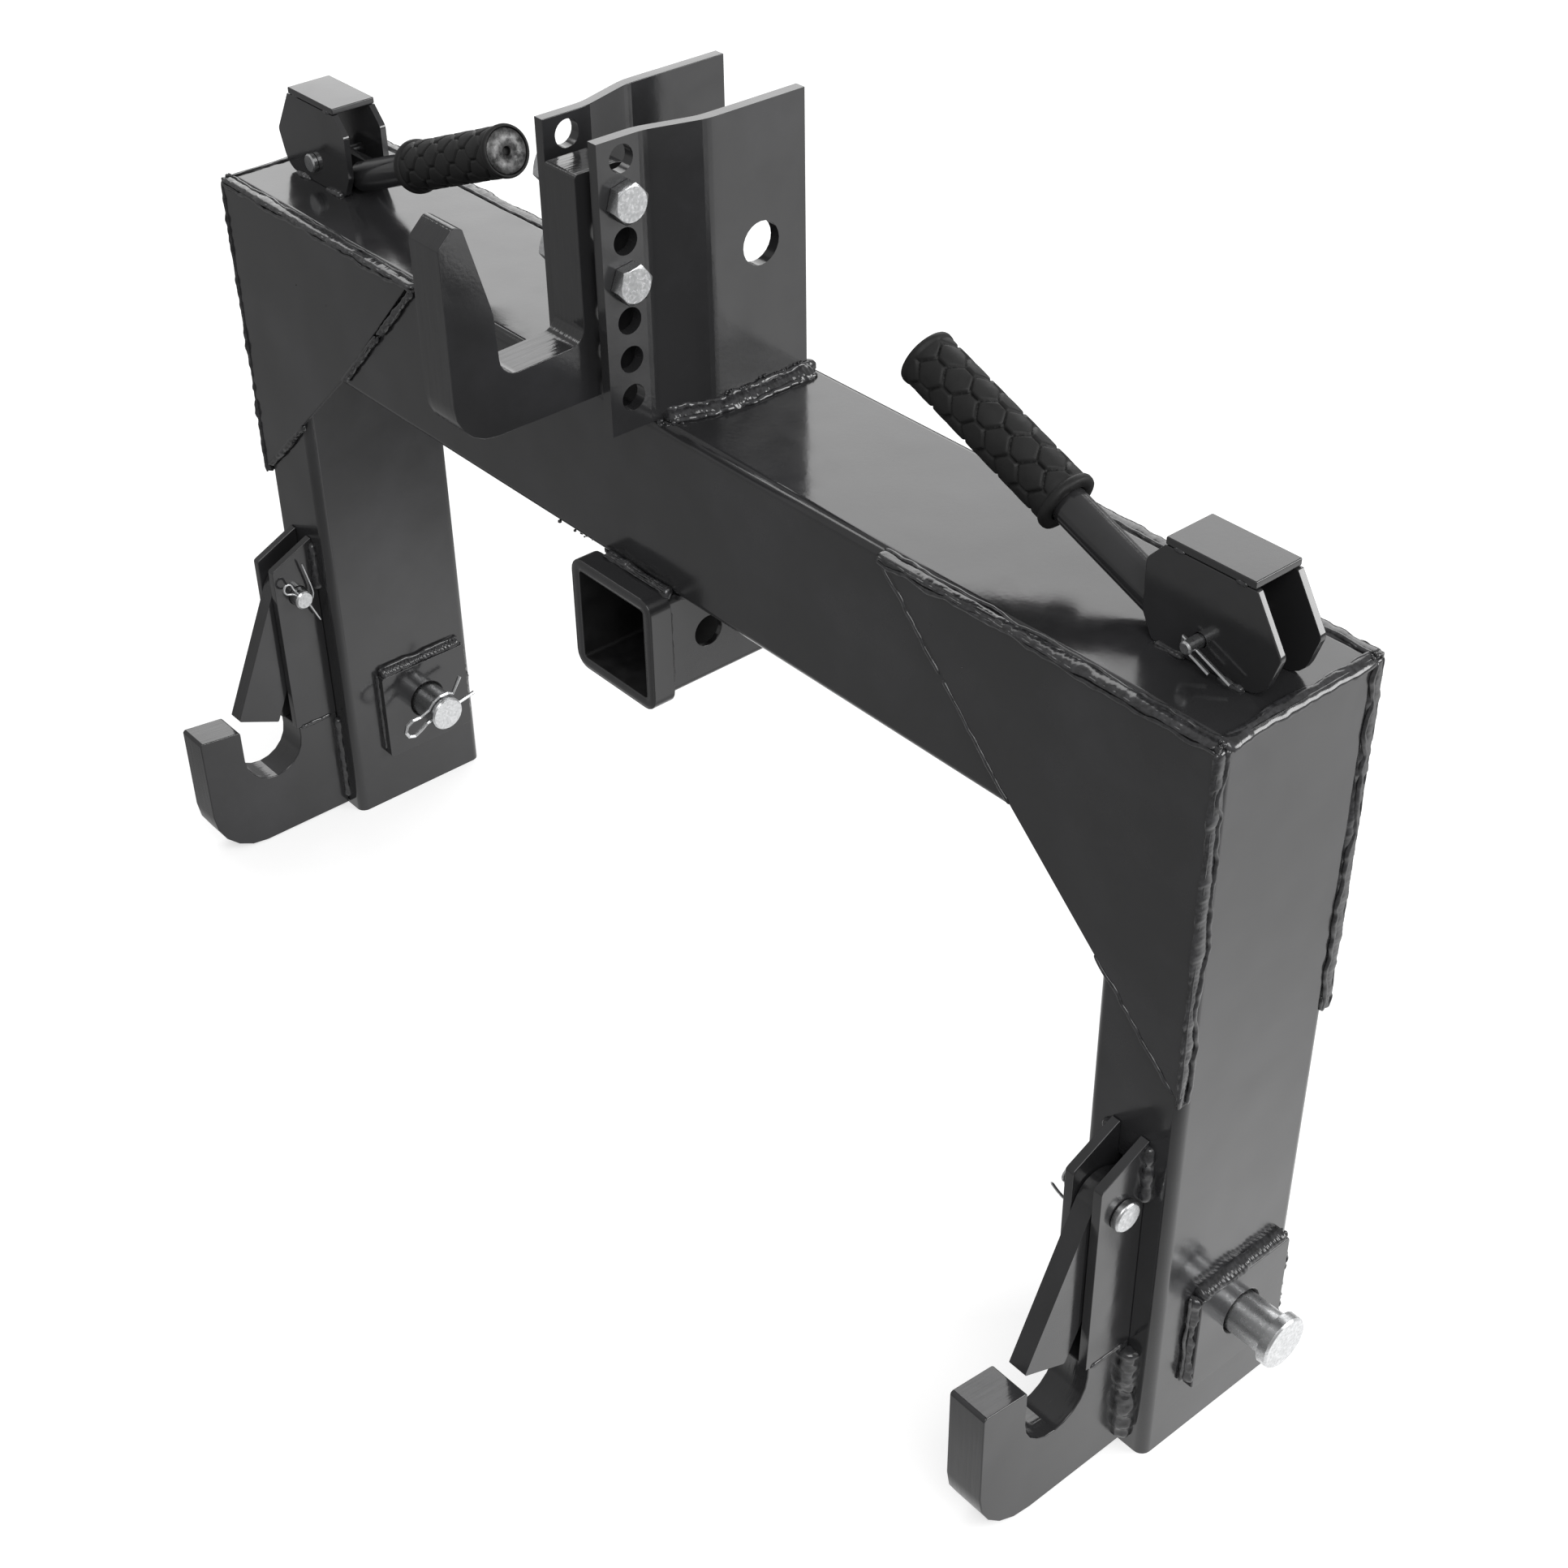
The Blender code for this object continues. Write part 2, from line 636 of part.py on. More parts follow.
def make_lower_hook(side_name, side):
    back = LEG_FACE + SEAT_GAP
    # The throat's floor is a half circle, short of it by a hair.
    round_floor = (THROAT_FRONT - THROAT_REAR) / 2 * 0.9975
    corners = [
        (-back, HOOK_BOTTOM, 0),
        (-HOOK_REACH, HOOK_BOTTOM, HOOK_NOSE_RADIUS),
        (-HOOK_REACH, HOOK_TIP_TOP, 0.002),
        (-THROAT_FRONT, HOOK_TIP_TOP - HOOK_TIP_SLOPE, 0.002),
        (-THROAT_FRONT, THROAT_BOTTOM, round_floor),
        (-THROAT_REAR, THROAT_BOTTOM, round_floor),
        (-THROAT_REAR, HOOK_PRONG_TOP, 0),
        (-back, HOOK_PRONG_TOP, 0),
    ]
    center = (side * HOOK_X, FRAME_Y, 0)
    name = side_name + "_lower_hook"
    hook = flat_part(name, [corners], LOWER_HOOK_THICKNESS, PLANE_YZ, center)
    return finish_part(hook, PAINT)


def latch_axis(side):
    return Vector((side * HOOK_X, FRAME_Y - LATCH_PIVOT_REACH, LATCH_PIVOT_Z))


def make_latch_cheek(side_name, side, place_name, outward):
    back = LEG_FACE + SEAT_GAP
    corners = [
        (-back, HOOK_PRONG_TOP + SEAT_GAP, 0),
        (-CHEEK_REACH, HOOK_PRONG_TOP + SEAT_GAP, 0),
        (-CHEEK_REACH, CHEEK_FRONT_TOP, 0.002),
        (-back, CHEEK_REAR_TOP, 0),
    ]
    offset = (LOWER_HOOK_THICKNESS - CHEEK_THICKNESS) / 2
    middle_x = side * (HOOK_X + outward * offset)
    name = "{}_latch_cheek_{}".format(side_name, place_name)
    cheek = flat_part(name, [corners], CHEEK_THICKNESS, PLANE_YZ, (middle_x, FRAME_Y, 0))
    hole = LATCH_PIN_DIAMETER + 2 * PIN_PLAY
    drill(cheek, name + "_hole", latch_axis(side), (1, 0, 0), hole, 2 * LOWER_HOOK_THICKNESS)
    return finish_part(cheek, PAINT)


def rod_hook_point():
    # The latch arm starts as far below level as it ends above it.
    reach = LATCH_PIVOT_REACH - LATCH_ARM * math.cos(LATCH_SWING / 2)
    return -reach, LATCH_PIVOT_Z - LATCH_ARM * math.sin(LATCH_SWING / 2)


def make_latch(side_name, side):
    # Directions of the plate (down its length, out to its back) and of the arm
    down = Vector((-math.sin(LATCH_TILT), -math.cos(LATCH_TILT)))
    out = Vector((math.cos(LATCH_TILT), -math.sin(LATCH_TILT)))
    arm = Vector((math.cos(LATCH_SWING / 2), -math.sin(LATCH_SWING / 2)))
    arm_up = Vector((-arm.y, arm.x))
    pivot = Vector((-LATCH_PIVOT_REACH, LATCH_PIVOT_Z))
    half = LATCH_ARM_HALF
    tip = LATCH_ARM + half
    root = (LATCH_REAR_OFFSET + half * arm_up.dot(out)) / arm.dot(out)
    front_low = pivot + down * LATCH_DROP - out * LATCH_FRONT_OFFSET
    back_low = pivot + down * LATCH_DROP + out * LATCH_REAR_OFFSET
    front_top = pivot - down * LATCH_FRONT_OFFSET - out * LATCH_FRONT_OFFSET
    shoulder = pivot - down * LATCH_FRONT_OFFSET + out * 0.002
    arm_top = pivot + arm * tip + arm_up * half
    arm_low = pivot + arm * tip - arm_up * half
    arm_root = pivot + arm * root - arm_up * half
    corners = [
        (front_low.x, front_low.y, 0.001),
        (front_top.x, front_top.y, 0.0135),
        (shoulder.x, shoulder.y, 0.008),
        (arm_top.x, arm_top.y, 0.0055),
        (arm_low.x, arm_low.y, 0.0055),
        (arm_root.x, arm_root.y, 0.003),
        (back_low.x, back_low.y, 0.001),
    ]
    name = side_name + "_latch"
    latch = flat_part(name, [corners], LATCH_THICKNESS, PLANE_YZ, (side * HOOK_X, FRAME_Y, 0))
    hole = LATCH_PIN_DIAMETER + 2 * PIN_PLAY
    drill(latch, name + "_pivot_hole", latch_axis(side), (1, 0, 0), hole, 2 * LATCH_THICKNESS)
    rod_y, rod_z = rod_hook_point()
    rod_center = (side * HOOK_X, FRAME_Y + rod_y, rod_z)
    drill(latch, name + "_rod_hole", rod_center, (1, 0, 0), ROD_HOLE, 2 * LATCH_THICKNESS)
    return finish_part(latch, PAINT)


def headed_pin(name, head_face, direction, diameter, head_diameter, head_height, length):
    # The turned profile starts at the middle of the head's outer face, and
    # its height runs against the direction that the pin points in.
    radius = diameter / 2
    head = head_diameter / 2
    edge = min(0.001, head_height / 4)
    profile = [
        (0, 0),
        (head - edge, 0),
        (head, -edge),
        (head, -head_height),
        (radius, -head_height),
        (radius, -length + edge),
        (radius - edge, -length),
        (0, -length),
    ]
    turn = (-Vector(direction)).to_track_quat("Z", "Y").to_matrix().to_4x4()
    return smooth(turned_part(name, profile, Matrix.Translation(head_face) @ turn))


# The path of an R-clip round a pin of radius 1: one leg runs straight through
# the pin, a loop turns the wire back, and the other leg springs over the pin.
CLIP_STRAIGHT = ((2.12, 0.0), (-1.26, 0.0), (-1.76, -0.20))
CLIP_LOOP = ((-2.21, -0.32), (-2.57, -0.11), (-2.68, 0.25), (-2.48, 0.60), (-2.03, 0.74), (-1.55, 0.64))
CLIP_TAIL = (1.34, 1.37)
LONG_CLIP_STRAIGHT = ((2.2, 0.0), (-3.7, 0.0))
LONG_CLIP_LOOP = ((-4.1, 0.12), (-4.3, 0.45), (-4.1, 0.78), (-3.7, 0.90), (-2.2, 0.92))
LONG_CLIP_TAIL = (2.3, 1.65)


def spring_clip(name, center, along, up, pin_diameter, wire, long=False):
    along = Vector(along).normalized()
    up = Vector(up).normalized()
    radius = pin_diameter / 2
    over = radius + wire / 2 + 2 * SEAT_GAP
    path = LONG_CLIP_STRAIGHT + LONG_CLIP_LOOP if long else CLIP_STRAIGHT + CLIP_LOOP
    tail = LONG_CLIP_TAIL if long else CLIP_TAIL
    flat = [(u * radius, v * radius) for u, v in path]
    for degrees in (140, 115, 90, 65, 45):
        angle = math.radians(degrees)
        flat.append((over * math.cos(angle), over * math.sin(angle)))
    flat.append((tail[0] * over, tail[1] * over))
    points = [Vector(center) + along * u + up * v for u, v in flat]
    return bent_wire(name, points, wire)


def make_latch_pin(side_name, side):
    name = side_name + "_latch_pin"
    half = LOWER_HOOK_THICKNESS / 2
    axis = latch_axis(side)
    face = axis + Vector((side * (half + SEAT_GAP + LATCH_PIN_HEAD_HEIGHT), 0, 0))
    length = 2 * half + SEAT_GAP + LATCH_PIN_HEAD_HEIGHT + LATCH_PIN_TAIL
    pin = headed_pin(
        name,
        face,
        (-side, 0, 0),
        LATCH_PIN_DIAMETER,
        LATCH_PIN_HEAD,
        LATCH_PIN_HEAD_HEIGHT,
        length,
    )
    clip_center = axis - Vector((side * (half + LATCH_PIN_TAIL / 2), 0, 0))
    # The clip's bend hangs down beside the leg. Its free leg is behind the
    # pin on the left hook and ahead of it on the right one.
    lean = math.radians(120 if side > 0 else 109)
    along = Vector((0, math.cos(lean), math.sin(lean)))
    up = Vector((0, -along.z, along.y)) * side
    hole = SMALL_CLIP_WIRE + 2 * PIN_PLAY
    drill(pin, name + "_clip_hole", clip_center, along, hole, 2 * LATCH_PIN_DIAMETER)
    finish_part(pin, ZINC)
    clip_name = side_name + "_latch_pin_clip"
    clip = spring_clip(clip_name, clip_center, along, up, LATCH_PIN_DIAMETER, SMALL_CLIP_WIRE, True)
    finish_part(smooth(to_mesh(clip), 50), ZINC)


def make_boss_plate(side_name, side, place_name, inner):
    # One boss plate stands on the leg's outer wall, one on its inner wall.
    front = LINK_Y - BOSS_WIDTH / 2
    back = LINK_Y + BOSS_WIDTH / 2
    corners = [
        (front, BOSS_BOTTOM, 0.002),
        (back, BOSS_BOTTOM, 0.002),
        (back, BOSS_TOP, 0.002),
        (front, BOSS_TOP, 0.002),
    ]
    if inner:
        middle = FRAME_HALF_WIDTH - LEG_WIDTH - SEAT_GAP - BOSS_THICKNESS / 2
    else:
        middle = FRAME_HALF_WIDTH + SEAT_GAP + BOSS_THICKNESS / 2
    name = "{}_boss_plate_{}".format(side_name, place_name)
    boss = flat_part(name, [corners], BOSS_THICKNESS, PLANE_YZ, (side * middle, FRAME_Y, 0))
    center = (side * middle, FRAME_Y + LINK_Y, LINK_Z)
    drill(boss, name + "_bore", center, (1, 0, 0), LINK_DIAMETER + 2 * PIN_PLAY, 4 * BOSS_THICKNESS)
    return finish_part(boss, PAINT)


def make_link_pin(side_name, side):
    name = side_name + "_link_pin"
    face = Vector((side * LINK_HEAD_FACE, FRAME_Y + LINK_Y, LINK_Z))
    pin = headed_pin(
        name,
        face,
        (-side, 0, 0),
        LINK_DIAMETER,
        LINK_HEAD_DIAMETER,
        LINK_HEAD_HEIGHT,
        LINK_HEAD_FACE - LINK_TAIL_FACE,
    )
    clip_center = Vector((side * (LINK_TAIL_FACE + LINK_CLIP_INSET), face.y, face.z))
    lean = math.radians(10.7)
    along = Vector((0, math.cos(lean), math.sin(lean)))
    up = Vector((0, -along.z, along.y))
    drill(pin, name + "_clip_hole", clip_center, along, LINK_CLIP_WIRE + 2 * PIN_PLAY, 2 * LINK_DIAMETER)
    finish_part(pin, ZINC)
    clip_name = side_name + "_link_pin_clip"
    clip = spring_clip(clip_name, clip_center, along, up, LINK_DIAMETER, LINK_CLIP_WIRE)
    clip = finish_part(smooth(to_mesh(clip), 50), ZINC)
    ride_on(side_name + "_link_pin_axis", face, [pin, clip])


def lever_axis(side):
    return Vector((side * LEVER_PIVOT_X, FRAME_Y, LEVER_PIVOT_Z))


def make_housing(side_name, side):
    bottom = BEAM_TOP + SEAT_GAP
    shoulder = HOUSING_TOP - HOUSING_CAP - SEAT_GAP
    # The left housing stands a little closer to the middle than the right one.
    middle = LEVER_PIVOT_X - (LEFT_HOUSING_SHIFT if side < 0 else 0)
    shape = [
        (-HOUSING_FOOT_IN, bottom, 0.004),
        (-HOUSING_WAIST_IN, BEAM_TOP + HOUSING_WAIST_IN_LOW, 0.004),
        (-HOUSING_WAIST_IN, BEAM_TOP + HOUSING_WAIST_IN_HIGH, 0.004),
        (-HOUSING_CAP_IN, shoulder, 0),
        (HOUSING_CAP_OUT + 0.001, shoulder, 0),
        (HOUSING_WAIST_OUT, BEAM_TOP + HOUSING_WAIST_OUT_HEIGHT, 0.004),
        (HOUSING_FOOT_OUT, bottom, 0.012),
    ]
    corners = [(side * (middle + x), z, radius) for x, z, radius in shape]
    for face_name, face in (("front", -1), ("back", 1)):
        name = "{}_housing_{}_cheek".format(side_name, face_name)
        middle_y = FRAME_Y + face * (HOUSING_WIDTH - HOUSING_CHEEK) / 2
        cheek = flat_part(name, [corners], HOUSING_CHEEK, PLANE_XZ, (0, middle_y, 0))
        hole = LEVER_PIN_DIAMETER + 2 * PIN_PLAY
        drill(cheek, name + "_hole", lever_axis(side), (0, 1, 0), hole, 2 * HOUSING_WIDTH)
        finish_part(cheek, PAINT)
    ends = (side * (middle - HOUSING_CAP_IN), side * (middle + HOUSING_CAP_OUT))
    cap = solid_box(
        side_name + "_housing_cap",
        (min(ends), FRAME_Y - HOUSING_WIDTH / 2, HOUSING_TOP - HOUSING_CAP),
        (max(ends), FRAME_Y + HOUSING_WIDTH / 2, HOUSING_TOP),
    )
    finish_part(cap, PAINT)


def lever_point(side, along, below):
    # A point given by its distance from the pivot up the lever, and below it
    x = -along * math.cos(LEVER_REST) - below * math.sin(LEVER_REST)
    z = along * math.sin(LEVER_REST) - below * math.cos(LEVER_REST)
    return Vector((side * (LEVER_PIVOT_X + x), FRAME_Y, LEVER_PIVOT_Z + z))


def crank_point(side):
    x = LEVER_PIVOT_X - CRANK_ARM * math.cos(CRANK_ARM_DROP)
    return Vector((side * x, FRAME_Y, LEVER_PIVOT_Z - CRANK_ARM * math.sin(CRANK_ARM_DROP)))


def make_lever(side_name, side):
    name = side_name + "_lever"
    start = lever_point(side, LEVER_BAR_START, LEVER_OFFSET)
    end = lever_point(side, LEVER_BAR_END, LEVER_OFFSET)
    up_bar = (end - start).normalized()
    length = (end - start).length
    bar = solid_cylinder(name, (start + end) / 2, up_bar, LEVER_BAR_DIAMETER, length)
    # The crank plate joins the bar to the pivot and carries the rod's hole.
    pivot = lever_axis(side)
    rod_end = crank_point(side)
    inside_top = lever_point(side, LEVER_BAR_START + 0.012, LEVER_OFFSET - 0.0075)
    inside_low = lever_point(side, LEVER_BAR_START + 0.012, LEVER_OFFSET + 0.006)
    corners = [
        (inside_top.x, inside_top.z, 0),
        (pivot.x - side * 0.006, pivot.z + 0.0085, 0.004),
        (pivot.x + side * 0.0085, pivot.z + 0.0085, 0.0075),
        (pivot.x + side * 0.0085, pivot.z - 0.0085, 0.0075),
        (rod_end.x, rod_end.z - 0.0062, 0.004),
        (inside_low.x, inside_low.z, 0),
    ]
    crank = flat_part(name + "_crank", [corners], CRANK_THICKNESS, PLANE_XZ, (0, FRAME_Y, 0))
    join(bar, crank)
    pin_hole = LEVER_PIN_DIAMETER + 2 * PIN_PLAY
    drill(bar, name + "_pivot_hole", pivot, (0, 1, 0), pin_hole, 4 * CRANK_THICKNESS)
    drill(bar, name + "_rod_hole", rod_end, (0, 1, 0), ROD_HOLE, 4 * CRANK_THICKNESS)
    lever = finish_part(smooth(bar), PAINT)
    turn = up_bar.to_track_quat("Z", "Y").to_matrix().to_4x4()
    # The grip's end is open for the disc, its foot has a lip.
    bore = LEVER_BAR_DIAMETER / 2 + PIN_PLAY
    recess = GRIP_DISC_DIAMETER / 2 + SEAT_GAP
    outer = GRIP_DIAMETER / 2
    lip = GRIP_LIP_DIAMETER / 2
    low = -GRIP_LENGTH
    grip_profile = [
        (recess, GRIP_DISC_THICKNESS),
        (outer - 0.0006, GRIP_DISC_THICKNESS),
        (outer, GRIP_DISC_THICKNESS - 0.0006),
        (outer, low + GRIP_LIP_LENGTH + 0.001),
        (lip, low + GRIP_LIP_LENGTH),
        (lip, low + 0.001),
        (lip - 0.001, low),
        (bore, low),
        (bore, 0),
        (recess, 0),
    ]
    grip = smooth(turned_part(side_name + "_lever_grip", grip_profile, Matrix.Translation(end) @ turn))
    finish_part(grip, RUBBER)
    disc_radius = GRIP_DISC_DIAMETER / 2
    disc_profile = [
        (0, GRIP_DISC_THICKNESS),
        (disc_radius - 0.0006, GRIP_DISC_THICKNESS),
        (disc_radius, GRIP_DISC_THICKNESS - 0.0006),
        (disc_radius, 0.0),
        (0, 0.0),
    ]
    disc_place = Matrix.Translation(end + up_bar * SEAT_GAP) @ turn
    disc_name = side_name + "_lever_end_disc"
    disc = smooth(turned_part(disc_name, disc_profile, disc_place))
    disc_face = end + up_bar * (SEAT_GAP + GRIP_DISC_THICKNESS)
    drill(disc, disc_name + "_dimple", disc_face, up_bar, DIMPLE_DIAMETER, 2 * DIMPLE_DEPTH)
    finish_part(disc, ZINC)
    ride_on(side_name + "_lever_axis", pivot, [lever, grip, disc])


def make_lever_pin(side_name, side):
    # The right pin has its clip at the front, the left pin its head.
    name = side_name + "_lever_pin"
    half = HOUSING_WIDTH / 2
    head_side = side
    pivot = lever_axis(side)
    head_offset = half + SEAT_GAP + LEVER_PIN_HEAD_HEIGHT
    face = pivot + Vector((0, head_side * head_offset, 0))
    length = 2 * half + SEAT_GAP + LEVER_PIN_HEAD_HEIGHT + LEVER_PIN_TAIL
    pin = headed_pin(
        name,
        face,
        (0, -head_side, 0),
        LEVER_PIN_DIAMETER,
        LEVER_PIN_HEAD,
        LEVER_PIN_HEAD_HEIGHT,
        length,
    )
    clip_center = pivot - Vector((0, head_side * (half + LEVER_PIN_TAIL * 0.5), 0))
    lean = math.radians(-23)
    along = Vector((side * math.cos(lean), 0, math.sin(lean)))
    up = Vector((side * -math.sin(lean), 0, math.cos(lean)))
    hole = SMALL_CLIP_WIRE + 2 * PIN_PLAY
    drill(pin, name + "_clip_hole", clip_center, along, hole, 2 * LEVER_PIN_DIAMETER)
    finish_part(pin, ZINC)
    # One leg of this clip runs through the pin, the other is bent round it.
    over = LEVER_PIN_DIAMETER / 2 + SMALL_CLIP_WIRE / 2 + 2 * SEAT_GAP
    flat = [(0.0225, 0), (-over * 1.05, 0)]
    for degrees in (205, 235, 262):
        angle = math.radians(degrees)
        flat.append((over * math.cos(angle), over * math.sin(angle)))
    flat.append((0.0125, -0.0046))
    points = [clip_center + along * u + up * v for u, v in flat]
    clip = bent_wire(side_name + "_lever_pin_clip", points, SMALL_CLIP_WIRE)
    finish_part(smooth(to_mesh(clip), 50), ZINC)


def make_rod(side_name, side):
    # The rod runs from the lever's crank down the leg to the latch arm. Its
    # upper end crosses the crank, its lower end crosses the latch arm.
    name = side_name + "_pull_rod"
    # The rod stands midway in the small sway of the two arms' ends.
    top = crank_point(side)
    top.x -= side * CRANK_ARM * (1 - math.cos(CRANK_ARM_DROP)) / 2
    rod_radius = ROD_DIAMETER / 2
    beside_crank = FRAME_Y - CRANK_THICKNESS / 2 - SEAT_GAP - rod_radius
    low_y, low_z = rod_hook_point()
    low_y = FRAME_Y + low_y + LATCH_ARM * (1 - math.cos(LATCH_SWING / 2)) / 2
    low_x = HOOK_X - LATCH_THICKNESS / 2 - SEAT_GAP - rod_radius
    shaft_y = FRAME_Y - ROD_SHAFT_REACH
    points = [
        (top.x, FRAME_Y + CRANK_THICKNESS / 2 + 0.002, top.z),
        (top.x, beside_crank, top.z),
        (top.x, beside_crank, BEAM_TOP - 0.007),
        (side * ROD_SHAFT_X, shaft_y, ROD_UPPER_BEND_Z),
        (side * ROD_SHAFT_X, shaft_y, ROD_LOWER_BEND_Z),
        (side * low_x, low_y, ROD_FOOT_BEND_Z),
        (side * low_x, low_y, low_z),
        (side * (HOOK_X + LATCH_THICKNESS / 2 + 0.002), low_y, low_z),
    ]
    rod = to_mesh(bent_wire(name, points, ROD_DIAMETER, 2))
    middle = (side * ROD_SHAFT_X, shaft_y, ROD_COLLAR_Z + ROD_COLLAR_HEIGHT / 2)
    collar = solid_cylinder(name + "_collar", middle, (0, 0, 1), ROD_COLLAR_DIAMETER, ROD_COLLAR_HEIGHT)
    join(rod, collar)
    rod = finish_part(smooth(rod, 50), ZINC)
    ride_on(side_name + "_pull_rod_axis", top, [rod])
    # The spring pushes the rod's collar down from the seat in the leg.
    spring_low = ROD_COLLAR_Z + ROD_COLLAR_HEIGHT + SEAT_GAP + SPRING_WIRE / 2
    spring_high = SPRING_SEAT_Z - SEAT_GAP - SPRING_WIRE / 2
    steps = SPRING_TURNS * 12
    coil = []
    for step in range(steps + 1):
        angle = 2 * math.pi * SPRING_TURNS * step / steps
        height = spring_low + (spring_high - spring_low) * step / steps
        x = side * ROD_SHAFT_X + SPRING_MEAN_RADIUS * math.cos(angle)
        y = shaft_y + SPRING_MEAN_RADIUS * math.sin(angle)
        coil.append((x, y, height))
    spring = to_mesh(bent_wire(side_name + "_return_spring", coil, SPRING_WIRE, 1))
    finish_part(smooth(spring, 60), SPRING_STEEL)
    wall_x = FRAME_HALF_WIDTH - LEG_WIDTH + TUBE_WALL + SEAT_GAP
    wall_y = FRAME_FRONT + TUBE_WALL + SEAT_GAP
    seat_width, seat_depth = SPRING_SEAT_SIZE
    corners = [
        (side * wall_x, wall_y, TUBE_CORNER - TUBE_WALL),
        (side * (wall_x + seat_width), wall_y, 0.002),
        (side * (wall_x + seat_width), wall_y + seat_depth, 0.002),
        (side * wall_x, wall_y + seat_depth, 0.002),
    ]
    seat_name = side_name + "_spring_seat"
    seat_middle = (0, 0, SPRING_SEAT_Z + SPRING_SEAT_THICKNESS / 2)
    seat = flat_part(seat_name, [corners], SPRING_SEAT_THICKNESS, PLANE_XY, seat_middle)
    shaft = (side * ROD_SHAFT_X, shaft_y, SPRING_SEAT_Z)
    drill(seat, seat_name + "_hole", shaft, (0, 0, 1), ROD_HOLE, 4 * SPRING_SEAT_THICKNESS)
    finish_part(seat, PAINT)


make_beam()
make_top_hook()
make_hook_bolt("upper", BOLT_ROWS[0])
make_hook_bolt("lower", BOLT_ROWS[1])
make_receiver()
for side_label, side_sign in SIDES:
    make_leg(side_label, side_sign)
    make_gusset(side_label, side_sign, "front", -1)
    make_gusset(side_label, side_sign, "back", 1)
    make_mast_plate(side_label, side_sign)
    make_lower_hook(side_label, side_sign)
    make_latch_cheek(side_label, side_sign, "outer", 1)
    make_latch_cheek(side_label, side_sign, "inner", -1)
    make_latch(side_label, side_sign)
    make_latch_pin(side_label, side_sign)
    make_boss_plate(side_label, side_sign, "outer", False)
    make_boss_plate(side_label, side_sign, "inner", True)
    make_link_pin(side_label, side_sign)
    make_housing(side_label, side_sign)
    make_lever(side_label, side_sign)
    make_lever_pin(side_label, side_sign)
    make_rod(side_label, side_sign)
    latch_item = bpy.data.objects[side_label + "_latch"]
    ride_on(side_label + "_latch_axis", latch_axis(side_sign), [latch_item])
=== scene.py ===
"""Dresses the three point quick hitch: powder coat, welds, zinc fasteners and rubber grips.

Metres, +Z up. +X runs along the beam, -Y is the side of the hooks. It is laid out as a Blender
add-on and run as a script.
"""

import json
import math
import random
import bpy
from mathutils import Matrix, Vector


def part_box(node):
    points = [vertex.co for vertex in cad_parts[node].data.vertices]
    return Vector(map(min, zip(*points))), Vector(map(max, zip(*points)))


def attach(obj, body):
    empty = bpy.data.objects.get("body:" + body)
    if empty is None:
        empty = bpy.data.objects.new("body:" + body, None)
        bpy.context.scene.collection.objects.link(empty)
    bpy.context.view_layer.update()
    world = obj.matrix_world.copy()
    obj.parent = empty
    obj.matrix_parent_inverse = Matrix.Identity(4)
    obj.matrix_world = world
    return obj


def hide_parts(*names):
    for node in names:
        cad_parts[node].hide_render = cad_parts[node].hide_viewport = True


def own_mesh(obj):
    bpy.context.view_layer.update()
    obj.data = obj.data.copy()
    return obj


bl_info = {
    "name": "Three Point Quick Hitch",
    "version": (1, 0, 0),
    "blender": (4, 5, 0),
    "location": "3D View > Sidebar > Quick Hitch",
    "description": "Coats, welds and fastens a three point quick hitch on its packed frame",
    "category": "Object",
}

import bmesh
import bpy
from mathutils import Matrix
from mathutils import Vector
from mathutils import noise

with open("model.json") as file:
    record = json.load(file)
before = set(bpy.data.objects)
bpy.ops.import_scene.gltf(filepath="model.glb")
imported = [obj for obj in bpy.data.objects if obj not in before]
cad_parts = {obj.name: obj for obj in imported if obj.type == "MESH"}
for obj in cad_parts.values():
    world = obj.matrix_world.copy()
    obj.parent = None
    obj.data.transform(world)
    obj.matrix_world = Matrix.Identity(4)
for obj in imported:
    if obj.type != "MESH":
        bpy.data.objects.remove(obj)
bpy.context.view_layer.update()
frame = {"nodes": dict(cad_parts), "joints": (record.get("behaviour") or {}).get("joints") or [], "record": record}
NODES = frame["nodes"]
SIDES = (("right", 1), ("left", -1))
FACES = (("front", -1), ("back", 1))
ALONG_X, ALONG_Y, ALONG_Z = (1, 0, 0), (0, 1, 0), (0, 0, 1)

# Places read from the frame
BEAM_LOW, BEAM_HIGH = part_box("beam")
LEG_LOW, LEG_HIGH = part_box("right_leg")
TUBE_FRONT = BEAM_LOW.y
TUBE_BACK = BEAM_HIGH.y
MIDDLE_Y = (TUBE_FRONT + TUBE_BACK) / 2
BEAM_TOP = BEAM_HIGH.z
BEAM_UNDER = BEAM_LOW.z
FRAME_END = LEG_HIGH.x
LEG_INSIDE = LEG_LOW.x

# Sizes shared with the part's source
GUSSET_KNEE = (0.262, 0.3325)
GUSSET_INNER = 0.1792
GUSSET_FOOT = 0.235
LEVER_REST = math.radians(21.8)
LEVER_BAR_OFFSET = 0.0136
LEVER_BAR_END = 0.1772
BAR_RADIUS = 0.0085
GRIP_RADIUS = 0.013
GRIP_LENGTH = 0.091
GRIP_LIP_RADIUS = 0.01425
GRIP_LIP_LENGTH = 0.004
DISC_RADIUS = 0.0116
DISC_THICKNESS = 0.003
BOLT_RADIUS = 0.006
SOURCE_HEAD_HEIGHT = 0.0075

